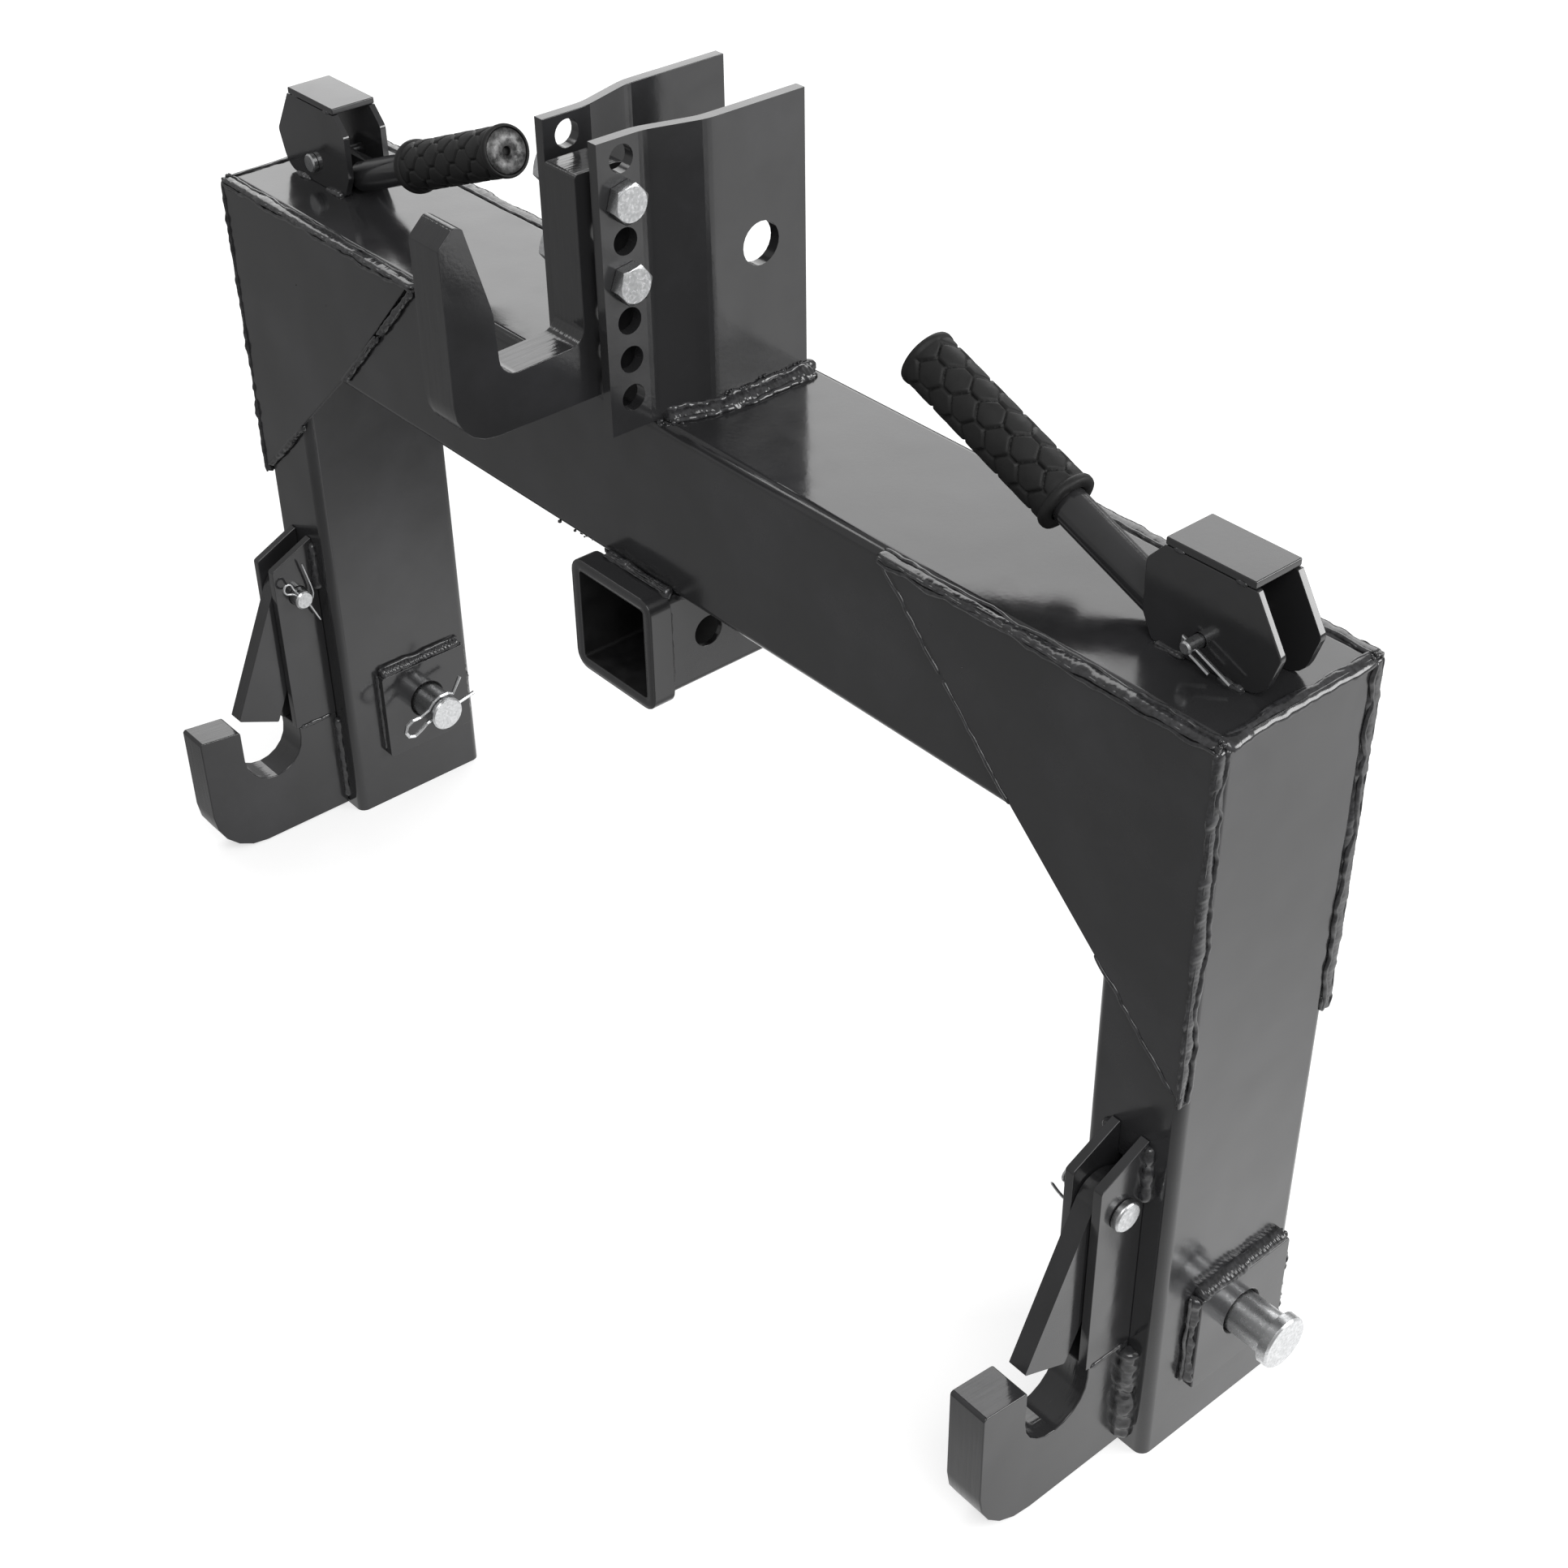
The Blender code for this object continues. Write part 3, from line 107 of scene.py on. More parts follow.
# Sizes of the visible forms, measured in the photo
HEX_WIDTH = 0.0168
HEX_HEAD_HEIGHT = 0.0062
HEX_FLAT_SHARE = 0.965  # the chamfer's circle, as a share of the width across flats
BEND_REACH = 0.009  # half the length over which a bend of the mast plates turns
COUNTERSINK = 0.0012
COTTER_RADIUS = 0.00075
BEAD_STEP = 0.0007
BEAD_COLUMNS = 10
BEAD_END = 0.0028  # length over which a bead's end rounds off
WAVE_STEP = 0.0015
WAVE_FADE = 0.006
GRIP_STEPS_AROUND = 144
GRIP_STEPS_ALONG = 128

# Coats' edge radii: tubes and thin plates
TUBE_EDGE = 0.0005
PLATE_EDGE = 0.0006

# Soft pools of light on the floor: x, y, reach and strength
FLOOR_POOLS = (
    (0.48, 0.13, 0.46, 1.1),
    (0.76, 0.50, 0.40, 0.5),
    (-0.20, 0.17, 0.40, 0.95),
    (1.05, 0.95, 1.10, 1.0),
)
# Lamps beside the large one behind: name, place, target, size and power
LAMPS = (
    ("key_softbox", (1.9, -1.0, 2.6), (0.0, 0.0, 0.25), (1.6, 1.6), 36),
    ("rim_softbox", (2.05, 1.54, 1.16), (0.3, 0.05, 0.35), (1.3, 1.0), 34),
    ("top_left_softbox", (-1.60, -0.70, 2.20), (0.0, 0.0, 0.35), (0.55, 0.55), 3),
)
WORLD_IN_REFLECTIONS = 0.42
FLOOR_HALF = 6.0

# The photograph's own view, solved from the frame's corners
CAMERA_AZIMUTH = math.radians(49.844)
CAMERA_ELEVATION = math.radians(36.548)
CAMERA_ROLL = math.radians(-0.915)
CAMERA_PLACE = (0.83015, MIDDLE_Y - 0.65401, 0.95726)


def srgb_to_linear(hex_colour):
    # The one place where a written colour becomes a shader's colour
    channels = []
    for start in (1, 3, 5):
        value = int(hex_colour[start : start + 2], 16) / 255
        if value <= 0.04045:
            channels.append(value / 12.92)
        else:
            channels.append(((value + 0.055) / 1.055) ** 2.4)
    return (*channels, 1.0)


def hex_setting(name, description, default):
    return bpy.props.StringProperty(name=name, description="sRGB hex colour of " + description, default=default)


def length_setting(name, description, default):
    return bpy.props.FloatProperty(name=name, description=description, default=default, unit="LENGTH")


def share_setting(name, description, default):
    return bpy.props.FloatProperty(name=name, description=description, default=default, min=0, max=1)


class CoatSettings(bpy.types.PropertyGroup):
    """Powder coat on the steel"""

    colour: hex_setting("Coat colour", "the powder coat", "#2c2c2d")
    roughness: share_setting("Coat roughness", "How blurred the coat's reflections are", 0.13)
    peel_size: length_setting("Orange peel", "Width of the coat's small waves", 0.0022)
    edge_radius: length_setting("Edge radius", "Rounding of cut edges under the coat", 0.0007)


class WeldSettings(bpy.types.PropertyGroup):
    """Hand laid weld beads"""

    ripple: length_setting("Ripple pitch", "Distance from one ripple of a bead to the next", 0.0026)
    wander: share_setting("Wander", "How unevenly a bead swells along its run", 0.28)
    spatter: length_setting("Spatter size", "Radius of the drops beside a bead", 0.0006)


class ZincSettings(bpy.types.PropertyGroup):
    """Zinc plate on fasteners, pins and clips"""

    colour: hex_setting("Zinc colour", "the zinc plate", "#d9dadb")
    roughness: share_setting("Zinc roughness", "How blurred the zinc's reflections are", 0.27)
    thread_pitch: length_setting("Thread pitch", "Distance between the threads of the bolts", 0.00175)


class GripSettings(bpy.types.PropertyGroup):
    """Rubber grips on the levers"""

    colour: hex_setting("Rubber colour", "the rubber", "#1b1b1b")
    scales_around: bpy.props.IntProperty(
        name="Scales around", description="Number of raised scales round the grip", default=6, min=3
    )
    groove_depth: length_setting("Groove depth", "Depth of the grooves between scales", 0.0012)
    groove_width: length_setting("Groove width", "Width of the grooves between scales", 0.0021)


class StageSettings(bpy.types.PropertyGroup):
    """Floor, light and camera"""

    floor_colour: hex_setting("Floor colour", "the floor", "#c9c9c9")
    floor_glow: share_setting("Floor lift", "White added to the floor where the camera sees it", 0.62)
    floor_mirror: share_setting("Floor in reflections", "How bright a reflection sees the floor", 0.3)
    softbox_power: bpy.props.FloatProperty(
        name="Softbox power", description="Power of the large light behind the hitch", default=29, unit="POWER"
    )
    lens: bpy.props.FloatProperty(
        name="Lens", description="Focal length on a 36 mm sensor", default=56.06, unit="CAMERA"
    )


def plug(tree, node, inputs):
    for key, value in inputs.items():
        if isinstance(value, bpy.types.NodeSocket):
            tree.links.new(value, node.inputs[key])
        else:
            node.inputs[key].default_value = value


def add_node(tree, kind, inputs=None, **settings):
    node = tree.nodes.new(kind)
    for key, value in settings.items():
        setattr(node, key, value)
    plug(tree, node, inputs or {})
    return node


def add_noise(tree, place, scale, detail, **more):
    inputs = {"Vector": place, "Scale": scale, "Detail": detail, **more}
    return add_node(tree, "ShaderNodeTexNoise", inputs).outputs["Fac"]


def add_bump(tree, height, distance, strength=0.5, normal=None):
    inputs = {"Height": height, "Distance": distance, "Strength": strength}
    if normal:
        inputs["Normal"] = normal
    return add_node(tree, "ShaderNodeBump", inputs).outputs["Normal"]


def ramp(tree, factor, low, high, from_low=0.35, from_high=0.65, **settings):
    inputs = {"Value": factor, "From Min": from_low, "From Max": from_high, "To Min": low, "To Max": high}
    return add_node(tree, "ShaderNodeMapRange", inputs, **settings).outputs["Result"]


def mottle(tree, factor, low, high, from_low=0.35, from_high=0.65):
    # From one written colour to another as the factor rises
    inputs = {
        0: ramp(tree, factor, 0.0, 1.0, from_low, from_high),
        6: srgb_to_linear(low),
        7: srgb_to_linear(high),
    }
    return add_node(tree, "ShaderNodeMix", inputs, data_type="RGBA").outputs[2]


def new_material(name):
    material = bpy.data.materials.new(name)
    material.use_nodes = True
    tree = material.node_tree
    place = add_node(tree, "ShaderNodeTexCoord").outputs["Object"]
    return material, tree, tree.nodes["Principled BSDF"], place


def shared(maker):
    # One material of each kind, made when a piece first asks for it
    def find():
        return bpy.data.materials.get(maker.__name__) or maker(maker.__name__)

    return find


def sprayed_coat(name, cut_marks=False):
    # Polyester powder coat, sprayed and baked: it shows the light as a clear reflection that the
    # orange peel breaks up a little, with dull patches where hands and dust have been.
    coat = bpy.context.scene.hitch_coat
    material, tree, shader, place = new_material(name)
    cloud = add_noise(tree, place, 14.0, 5.0, Roughness=0.55)
    wipe = add_noise(tree, place, 38.0, 6.0, Distortion=0.6)
    peel = add_noise(tree, place, 1 / coat.peel_size, 2.0)
    # Slow waves of the rolled steel under the coat, about 45 mm long
    rolled = add_noise(tree, place, 22.0, 1.0)
    normal = add_bump(tree, rolled, 0.0009, 0.55, add_bump(tree, peel, 0.000022, 1.0))
    if cut_marks:
        # Flame cut edges keep faint uneven streaks across the plate, 1 to 3 mm apart
        facing = add_node(tree, "ShaderNodeNewGeometry").outputs["Normal"]
        across = add_node(tree, "ShaderNodeSeparateXYZ", {"Vector": facing}).outputs["X"]
        flat = add_node(tree, "ShaderNodeMath", {0: across}, operation="ABSOLUTE").outputs[0]
        edge = ramp(tree, flat, 1.0, 0.0, 0.2, 0.7)
        stretched = add_node(tree, "ShaderNodeMapping", {"Vector": place, "Scale": (1.0, 0.07, 0.07)})
        streaks = add_noise(tree, stretched.outputs["Vector"], 520.0, 3.0)
        normal = add_bump(tree, streaks, 0.00014, edge, normal)
    surface = {
        "Base Color": mottle(tree, cloud, coat.colour, "#363638", 0.46, 0.72),
        "Roughness": ramp(tree, wipe, coat.roughness * 0.8, coat.roughness * 1.7, 0.38, 0.72),
        "Normal": normal,
        "IOR": 1.6,
    }
    plug(tree, shader, surface)
    return material


@shared
def gloss_powder_coat(name):
    return sprayed_coat(name)


@shared
def flame_cut_powder_coat(name):
    return sprayed_coat(name, cut_marks=True)


@shared
def coated_weld_metal(name):
    # MIG weld under the same powder coat: lumps catch the light in short bright streaks
    material, tree, shader, place = new_material(name)
    surface = {
        "Base Color": mottle(tree, add_noise(tree, place, 420.0, 3.0), "#252526", "#3a3a3c"),
        "Roughness": bpy.context.scene.hitch_coat.roughness + 0.02,
        "Normal": add_bump(tree, add_noise(tree, place, 600.0, 2.0), 0.00004),
        "IOR": 1.6,
    }
    plug(tree, shader, surface)
    return material


@shared
def bright_zinc_plate(name):
    # Electroplated zinc on turned or drawn steel: a pale, slightly cloudy shine with fine lines
    # from the tool and dull spots where it has been handled.
    zinc = bpy.context.scene.hitch_zinc
    material, tree, shader, place = new_material(name)
    cloud = add_noise(tree, place, 600.0, 6.0, Roughness=0.6)
    # Turning lines about 0.4 mm apart, drawn coarser than real ones so that they show
    inputs = {"Vector": place, "Scale": 700.0, "Distortion": 3.0, "Detail": 3.0}
    lines = add_node(tree, "ShaderNodeTexWave", inputs, bands_direction="X").outputs["Fac"]
    surface = {
        "Base Color": mottle(tree, cloud, "#c2c3c4", zinc.colour, 0.36, 0.66),
        "Roughness": ramp(tree, cloud, zinc.roughness + 0.12, zinc.roughness - 0.04, 0.36, 0.66),
        "Normal": add_bump(tree, cloud, 0.00005, 0.6, add_bump(tree, lines, 0.00003)),
        "Metallic": 1.0,
    }
    plug(tree, shader, surface)
    return material


@shared
def moulded_rubber(name):
    # Moulded nitrile rubber: near black, with a dull sheen on the tops of the scales
    material, tree, shader, place = new_material(name)
    dust = add_noise(tree, place, 180.0, 5.0)
    # Fine mould texture, 0.5 mm grains
    grain = add_noise(tree, place, 2000.0, 2.0)
    surface = {
        "Base Color": mottle(tree, dust, "#121212", bpy.context.scene.hitch_grip.colour),
        "Roughness": ramp(tree, dust, 0.5, 0.66),
        "Normal": add_bump(tree, grain, 0.00006),
        "IOR": 1.45,
    }
    plug(tree, shader, surface)
    return material


@shared
def oiled_spring_wire(name):
    # Hard drawn spring wire under oil: dark steel with a soft shine
    material, tree, shader, place = new_material(name)
    shade = mottle(tree, add_noise(tree, place, 500.0, 3.0), "#6d6c6a", "#8d8c8a")
    plug(tree, shader, {"Base Color": shade, "Metallic": 1.0, "Roughness": 0.32})
    return material


@shared
def machined_steel_end(name):
    # Ground end disc: dark mottled steel, worn unevenly
    material, tree, shader, place = new_material(name)
    blotch = add_noise(tree, place, 210.0, 6.0, Roughness=0.7)
    surface = {
        "Base Color": mottle(tree, blotch, "#363636", "#6a6a6a", 0.38, 0.62),
        "Roughness": ramp(tree, blotch, 0.55, 0.42),
        "Normal": add_bump(tree, blotch, 0.00015, 0.7),
        "Metallic": 1.0,
    }
    plug(tree, shader, surface)
    return material


@shared
def oil_black_bore(name):
    # A bore or gap painted near black: painted shade that stands for the dark inside of the hole
    material, tree, shader, place = new_material(name)
    shade = mottle(tree, add_noise(tree, place, 700.0, 2.0), "#0b0b0b", "#151515")
    plug(tree, shader, {"Base Color": shade, "Roughness": 0.7})
    return material


@shared
def mill_scale_inside(name):
    # The coat doesn't reach into the tube: hot rolled mill scale, blue black and dull, painted near black as
    # painted shade inside the tube
    material, tree, shader, place = new_material(name)
    scale = add_noise(tree, place, 90.0, 5.0)
    surface = {
        "Base Color": mottle(tree, scale, "#070708", "#0f0f10"),
        "Roughness": ramp(tree, scale, 0.5, 0.7),
        "Normal": add_bump(tree, scale, 0.0002),
    }
    plug(tree, shader, surface)
    return material


def show_piece(name, shape, material, body, replaced=(), sharp_angle=38):
    mesh = bpy.data.meshes.new(name)
    bmesh.ops.recalc_face_normals(shape, faces=shape.faces)
    shape.to_mesh(mesh)
    shape.free()
    mesh.materials.append(material)
    mesh.shade_smooth()
    mesh.set_sharp_from_angle(angle=math.radians(sharp_angle))
    piece = bpy.data.objects.new(name, mesh)
    bpy.context.scene.collection.objects.link(piece)
    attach(piece, body)
    if replaced:
        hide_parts(*replaced)
    return piece


def repaint(node, material):
    mesh = NODES[node].data
    mesh.materials.clear()
    mesh.materials.append(material)


def body_of(node):
    for body, members in frame["record"]["behaviour"]["bodies"].items():
        if node in members:
            return body
    raise RuntimeError("no body holds " + node)


def soften_bends(shape):
    # Press brake bends have a wide inside radius, so the plate turns gradually over BEND_REACH
    outward, inward = [], []
    for edge in shape.edges:
        if len(edge.link_faces) != 2:
            continue
        run = (edge.verts[1].co - edge.verts[0].co).normalized()
        if abs(run.z) < 0.9 or not 4 < math.degrees(edge.calc_face_angle(0.0)) < 32:
            continue
        ahead, behind = sorted(edge.link_faces, key=lambda face: face.calc_center_median().y)
        kink = ahead.normal.y / ahead.normal.x - behind.normal.y / behind.normal.x
        (outward if kink > 0 else inward).append((edge.verts[0].co.y, kink))
    for group in filter(None, (outward, inward)):
        middle = sum(y for y, _ in group) / len(group)
        kink = sum(value for _, value in group) / len(group)
        for step in range(9):
            everything = shape.verts[:] + shape.edges[:] + shape.faces[:]
            cut = (0, middle + BEND_REACH * (step / 4 - 1), 0)
            bmesh.ops.bisect_plane(shape, geom=everything, plane_co=cut, plane_no=ALONG_Y, dist=0.000001)
        for vert in shape.verts:
            left = BEND_REACH - abs(vert.co.y - middle)
            if left > 0:
                vert.co.x += kink * left * left / (4 * BEND_REACH)


def open_pin_hole(shape, axis_y, axis_z, reach):
    # The pin's hole is countersunk a little, and the countersink is painted near black: painted shade of the gap
    # round the pin.
    rims = []
    for edge in shape.edges:
        if len(edge.link_faces) != 2 or edge.calc_face_angle(0.0) < 1.0:
            continue
        if all(math.hypot(vert.co.y - axis_y, vert.co.z - axis_z) < reach for vert in edge.verts):
            rims.append(edge)
    sunk = bmesh.ops.bevel(
        shape, geom=rims, offset=COUNTERSINK, offset_type="OFFSET", segments=1, profile=0.5, affect="EDGES"
    )
    # The countersink's faces take the near black painted shade
    for face in sunk["faces"]:
        face.material_index = 1


def round_edges(node, material, radius=None, segments=2, before=None):
    # A copy of the node whose cut edges are rounded, as under a powder coat
    shape = bmesh.new()
    shape.from_mesh(NODES[node].data)
    bmesh.ops.remove_doubles(shape, verts=shape.verts, dist=0.000002)
    same_plane = math.radians(0.6)
    bmesh.ops.dissolve_limit(
        shape, angle_limit=same_plane, use_dissolve_boundaries=False, verts=shape.verts, edges=shape.edges
    )
    if before:
        before(shape)
    piece = show_piece(node + "_coated", shape, material, body_of(node), (node,), 30)
    # Faces marked 1 get the near black painted shade of a hole
    if any(polygon.material_index == 1 for polygon in piece.data.polygons):
        piece.data.materials.append(oil_black_bore())
    bevel = piece.modifiers.new("rounded edges", "BEVEL")
    bevel.width = radius or bpy.context.scene.hitch_coat.edge_radius
    bevel.segments = segments
    bevel.limit_method = "ANGLE"
    bevel.angle_limit = math.radians(32)
    bevel.use_clamp_overlap = True
    bevel.miter_outer = "MITER_ARC"
    weighted = piece.modifiers.new("flat faces stay flat", "WEIGHTED_NORMAL")
    weighted.keep_sharp = False
    weighted.weight = 80
    flags = piece.data.attributes.get("sharp_edge")
    if flags:
        piece.data.attributes.remove(flags)
    return piece


def join_rows(shape, rows, closed=False):
    # Quads between rings of vertices, round to the first ring where the form is closed
    for first, second in zip(rows, rows[1:] + rows[:1] if closed else rows[1:]):
        for index in range(len(first)):
            after = (index + 1) % len(first)
            shape.faces.new((first[index], first[after], second[after], second[index]))


def resample(points, step):
    # Evenly spaced stations along a polyline: (place, distance so far), and its length
    stations = []
    travelled = 0.0
    for start, stop in zip(points, points[1:]):
        run = stop - start
        count = max(1, round(run.length / step))
        for index in range(count):
            share = index / count
            stations.append((start + run * share, travelled + run.length * share))
        travelled += run.length
    stations.append((points[-1], travelled))
    return stations, travelled


def wavy(points, amplitude, aside, pitch, seed):
    # The same path with a slow sideways wander that dies out at both ends
    stations, length = resample(points, WAVE_STEP)
    moved = []
    for place, distance in stations:
        fade = min(1.0, min(distance, length - distance) / WAVE_FADE)
        sway = noise.noise(Vector((distance / pitch, seed * 5.1, 2.5)))
        sway += 0.45 * noise.noise(Vector((distance / pitch * 2.7, seed * 2.3, 8.5)))
        moved.append(place + Vector(aside).normalized() * amplitude * 1.6 * sway * fade)
    return moved


class WeldRun:
    """The weld metal of one piece, laid bead by bead"""

    def __init__(self):
        self.shape = bmesh.new()
        self.settings = bpy.context.scene.hitch_weld

    def bead(self, points, across, rise, seed, sweep=180, size=1.0, rough=1.0, ripples=1.0, wave=None):
        """One bead along points: its section goes from the across side over the rise side.

        wave holds the wander of the path: amplitude, direction, pitch and seed.
        """
        points = [Vector(point) for point in points]
        if wave:
            points = wavy(points, *wave)
        across = Vector(across) * size
        rise = Vector(rise) * size
        wander = self.settings.wander
        stations, length = resample(points, BEAD_STEP)
        rows = []
        sunk = -(across + rise) * 0.12 if sweep < 180 else -rise * 0.4
        for place, distance in stations:
            end = min(distance, length - distance)
            cap = math.sqrt(max(0.02, 1 - (1 - min(1, end / BEAD_END)) ** 2))
            swell = 1 + wander * noise.noise(Vector((distance * 70, seed * 7.3, 0.5)))
            swell += 0.8 * wander * rough * noise.noise(Vector((distance * 190, seed * 3.1, 4.2)))
            row = []
            for column in range(BEAD_COLUMNS + 1):
                angle = math.radians(sweep) * column / BEAD_COLUMNS
                middle = math.sin(angle * 180 / sweep)
                phase = distance / self.settings.ripple + 0.6 * middle
                ripple = 0.05 * ripples * math.cos(2 * math.pi * phase)
                lump = 0.12 * rough * noise.noise(Vector((distance * 240, column * 0.3, seed * 1.7)))
                scale = cap * (swell + ripple * middle + lump)
                row.append(place + across * math.cos(angle) * scale + rise * math.sin(angle) * scale)
            row.append(place - across * 0.4 * cap + sunk if sweep >= 180 else place + sunk)
            if sweep >= 180:
                row.append(place + across * 0.4 * cap + sunk)
            rows.append([self.shape.verts.new(point) for point in row])
        join_rows(self.shape, rows)
        self.shape.faces.new(rows[0])
        self.shape.faces.new(rows[-1][::-1])

    def drops(self, low, high, count, seed, size=1.0):
        # Half sunk drops of weld metal scattered in a box
        dice = random.Random(seed)
        for _ in range(count):
            place = Vector(dice.uniform(a, b) for a, b in zip(low, high))
            radius = self.settings.spatter * size * dice.uniform(0.5, 1.4)
            bmesh.ops.create_icosphere(
                self.shape, subdivisions=1, radius=radius, matrix=Matrix.Translation(place)
            )

    def show(self, name):
        show_piece(name, self.shape, coated_weld_metal(), "frame", sharp_angle=80)


def rounded_square(half, radius):
    points = []
    for corner in range(4):
        for step in range(7):
            angle = math.radians(90 * corner + 15 * step)
            x = (half - radius) * (1 if corner in (0, 3) else -1) + radius * math.cos(angle)
            z = (half - radius) * (1 if corner in (0, 1) else -1) + radius * math.sin(angle)
            points.append((x, z))
    return points


def bend_wire(shape, points, radius, sides=10):
    # A round wire along points, with domed ends
    rows = []
    previous = None
    for index, point in enumerate(points):
        ahead = points[min(index + 1, len(points) - 1)] - points[max(index - 1, 0)]
        ahead.normalize()
        if previous is None:
            normal = ahead.orthogonal().normalized()
        else:
            normal = (previous - ahead * previous.dot(ahead)).normalized()
        previous = normal
        beside = ahead.cross(normal)
        scale = 0.55 if index in (0, len(points) - 1) else 1.0
        row = []
        for step in range(sides):
            angle = 2 * math.pi * step / sides
            out = normal * math.cos(angle) + beside * math.sin(angle)
            row.append(shape.verts.new(point + out * radius * scale))
        rows.append(row)
    join_rows(shape, rows)
    shape.faces.new(rows[0][::-1])
    shape.faces.new(rows[-1])


def smooth_path(points, steps=6):
    # Catmull-Rom through the given points
    ends = [points[0] * 2 - points[1]] + points + [points[-1] * 2 - points[-2]]
    path = []
    for index in range(1, len(ends) - 2):
        a, b, c, d = ends[index - 1 : index + 3]
        for step in range(steps):
            t = step / steps
            bend = (2 * a - 5 * b + 4 * c - d) * t * t + (3 * b - a - 3 * c + d) * t * t * t
            path.append(0.5 * (2 * b + (c - a) * t + bend))
    path.append(points[-1])
    return path


def lathe_rings(shape, rings, place, count, closed=False):
    # Each ring is a function of the angle that gives (radius, height)
    made = []
    for ring in rings:
        row = []
        for step in range(count):
            angle = 2 * math.pi * step / count
            radius, height = ring(angle)
            point = Vector((radius * math.cos(angle), radius * math.sin(angle), height))
            row.append(shape.verts.new(place @ point))
        made.append(row)
    join_rows(shape, made, closed)
    if not closed:
        shape.faces.new(made[0][::-1])
        shape.faces.new(made[-1])


def plain(radius, height):
    return lambda angle: (radius, height)


class HitchStep:
    """One step of the build. Each operator says in work() what it makes."""

    def execute(self, context):
        self.work(context)
        return {"FINISHED"}


class HITCH_OT_coat_frame(HitchStep, bpy.types.Operator):
    """Coat the beam, the legs and the gussets"""

    bl_idname = "hitch.coat_frame"
    bl_label = "Coat beam, legs and gussets"

    def work(self, context):
        round_edges("beam", gloss_powder_coat(), TUBE_EDGE)
        for side, _ in SIDES:
            round_edges(side + "_leg", gloss_powder_coat(), TUBE_EDGE)
            for face, _ in FACES:
                round_edges("{}_{}_gusset".format(side, face), gloss_powder_coat(), PLATE_EDGE)


class HITCH_OT_coat_mast(HitchStep, bpy.types.Operator):
    """Coat the mast plates and the top hook"""

    bl_idname = "hitch.coat_mast"
    bl_label = "Coat mast and top hook"

    def work(self, context):
        for side, _ in SIDES:
            round_edges(side + "_mast_plate", gloss_powder_coat(), before=soften_bends)
        round_edges("top_hook", flame_cut_powder_coat(), 0.0019, 4)


class HITCH_OT_coat_receiver(HitchStep, bpy.types.Operator):
    """Coat the receiver tube and its collar"""

    bl_idname = "hitch.coat_receiver"
    bl_label = "Coat receiver"

    def work(self, context):
        tube = round_edges("receiver_tube", gloss_powder_coat(), TUBE_EDGE)
        # The tube's inside faces take mill scale darkened to near black: painted shade inside the tube
        tube.data.materials.append(mill_scale_inside())
        low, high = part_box("receiver_tube")
        middle_z = (low.z + high.z) / 2
        inside = high.x - 0.0016
        for polygon in tube.data.polygons:
            centre = polygon.center
            if abs(polygon.normal.y) < 0.5 and abs(centre.x) < inside and abs(centre.z - middle_z) < inside:
                polygon.material_index = 1
        round_edges("receiver_collar", gloss_powder_coat(), 0.0008)
        # The seam between tube and collar is filled and ground flush
        seam = bmesh.new()
        front, proud = low.y, low.y - 0.0004
        outline = [(rounded_square(high.x + more, 0.005 + more), y) for more, y in
                   ((-0.0022, front), (-0.0012, proud), (0.0014, proud), (0.0024, front))]
        outline.append((rounded_square(high.x, 0.005), front + 0.0003))
        loops = [[seam.verts.new((x, y, middle_z + z)) for x, z in square] for square, y in outline]
        join_rows(seam, loops, closed=True)
        show_piece("receiver_face_seam", seam, gloss_powder_coat(), "frame", sharp_angle=60)


class HITCH_OT_coat_lower_hooks(HitchStep, bpy.types.Operator):
    """Coat the lower hooks, cheeks, latches and boss plates"""

    bl_idname = "hitch.coat_lower_hooks"
    bl_label = "Coat lower hooks and latches"

    def work(self, context):
        for side, _ in SIDES:
            round_edges(side + "_lower_hook", flame_cut_powder_coat(), 0.0010, 3)
            round_edges(side + "_latch", flame_cut_powder_coat(), 0.0007)
            pin_low, pin_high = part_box(side + "_link_pin")
            axis = (pin_low + pin_high) / 2
            reach = (pin_high.z - pin_low.z) / 2 + 0.001

            def open_hole(shape):
                open_pin_hole(shape, axis.y, axis.z, reach)

            for place in ("outer", "inner"):
                round_edges("{}_latch_cheek_{}".format(side, place), gloss_powder_coat())
                round_edges("{}_boss_plate_{}".format(side, place), gloss_powder_coat(), before=open_hole)


class HITCH_OT_coat_housings(HitchStep, bpy.types.Operator):
    """Coat the lever housings"""

    bl_idname = "hitch.coat_housings"
    bl_label = "Coat lever housings"

    def work(self, context):
        for side, _ in SIDES:
            for part in ("front_cheek", "back_cheek", "cap"):
                round_edges("{}_housing_{}".format(side, part), gloss_powder_coat(), PLATE_EDGE)


class HITCH_OT_coat_levers(HitchStep, bpy.types.Operator):
    """Coat the lever bars"""

    bl_idname = "hitch.coat_levers"
    bl_label = "Coat lever bars"

    def work(self, context):
        for side, _ in SIDES:
            round_edges(side + "_lever", gloss_powder_coat(), 0.0004)


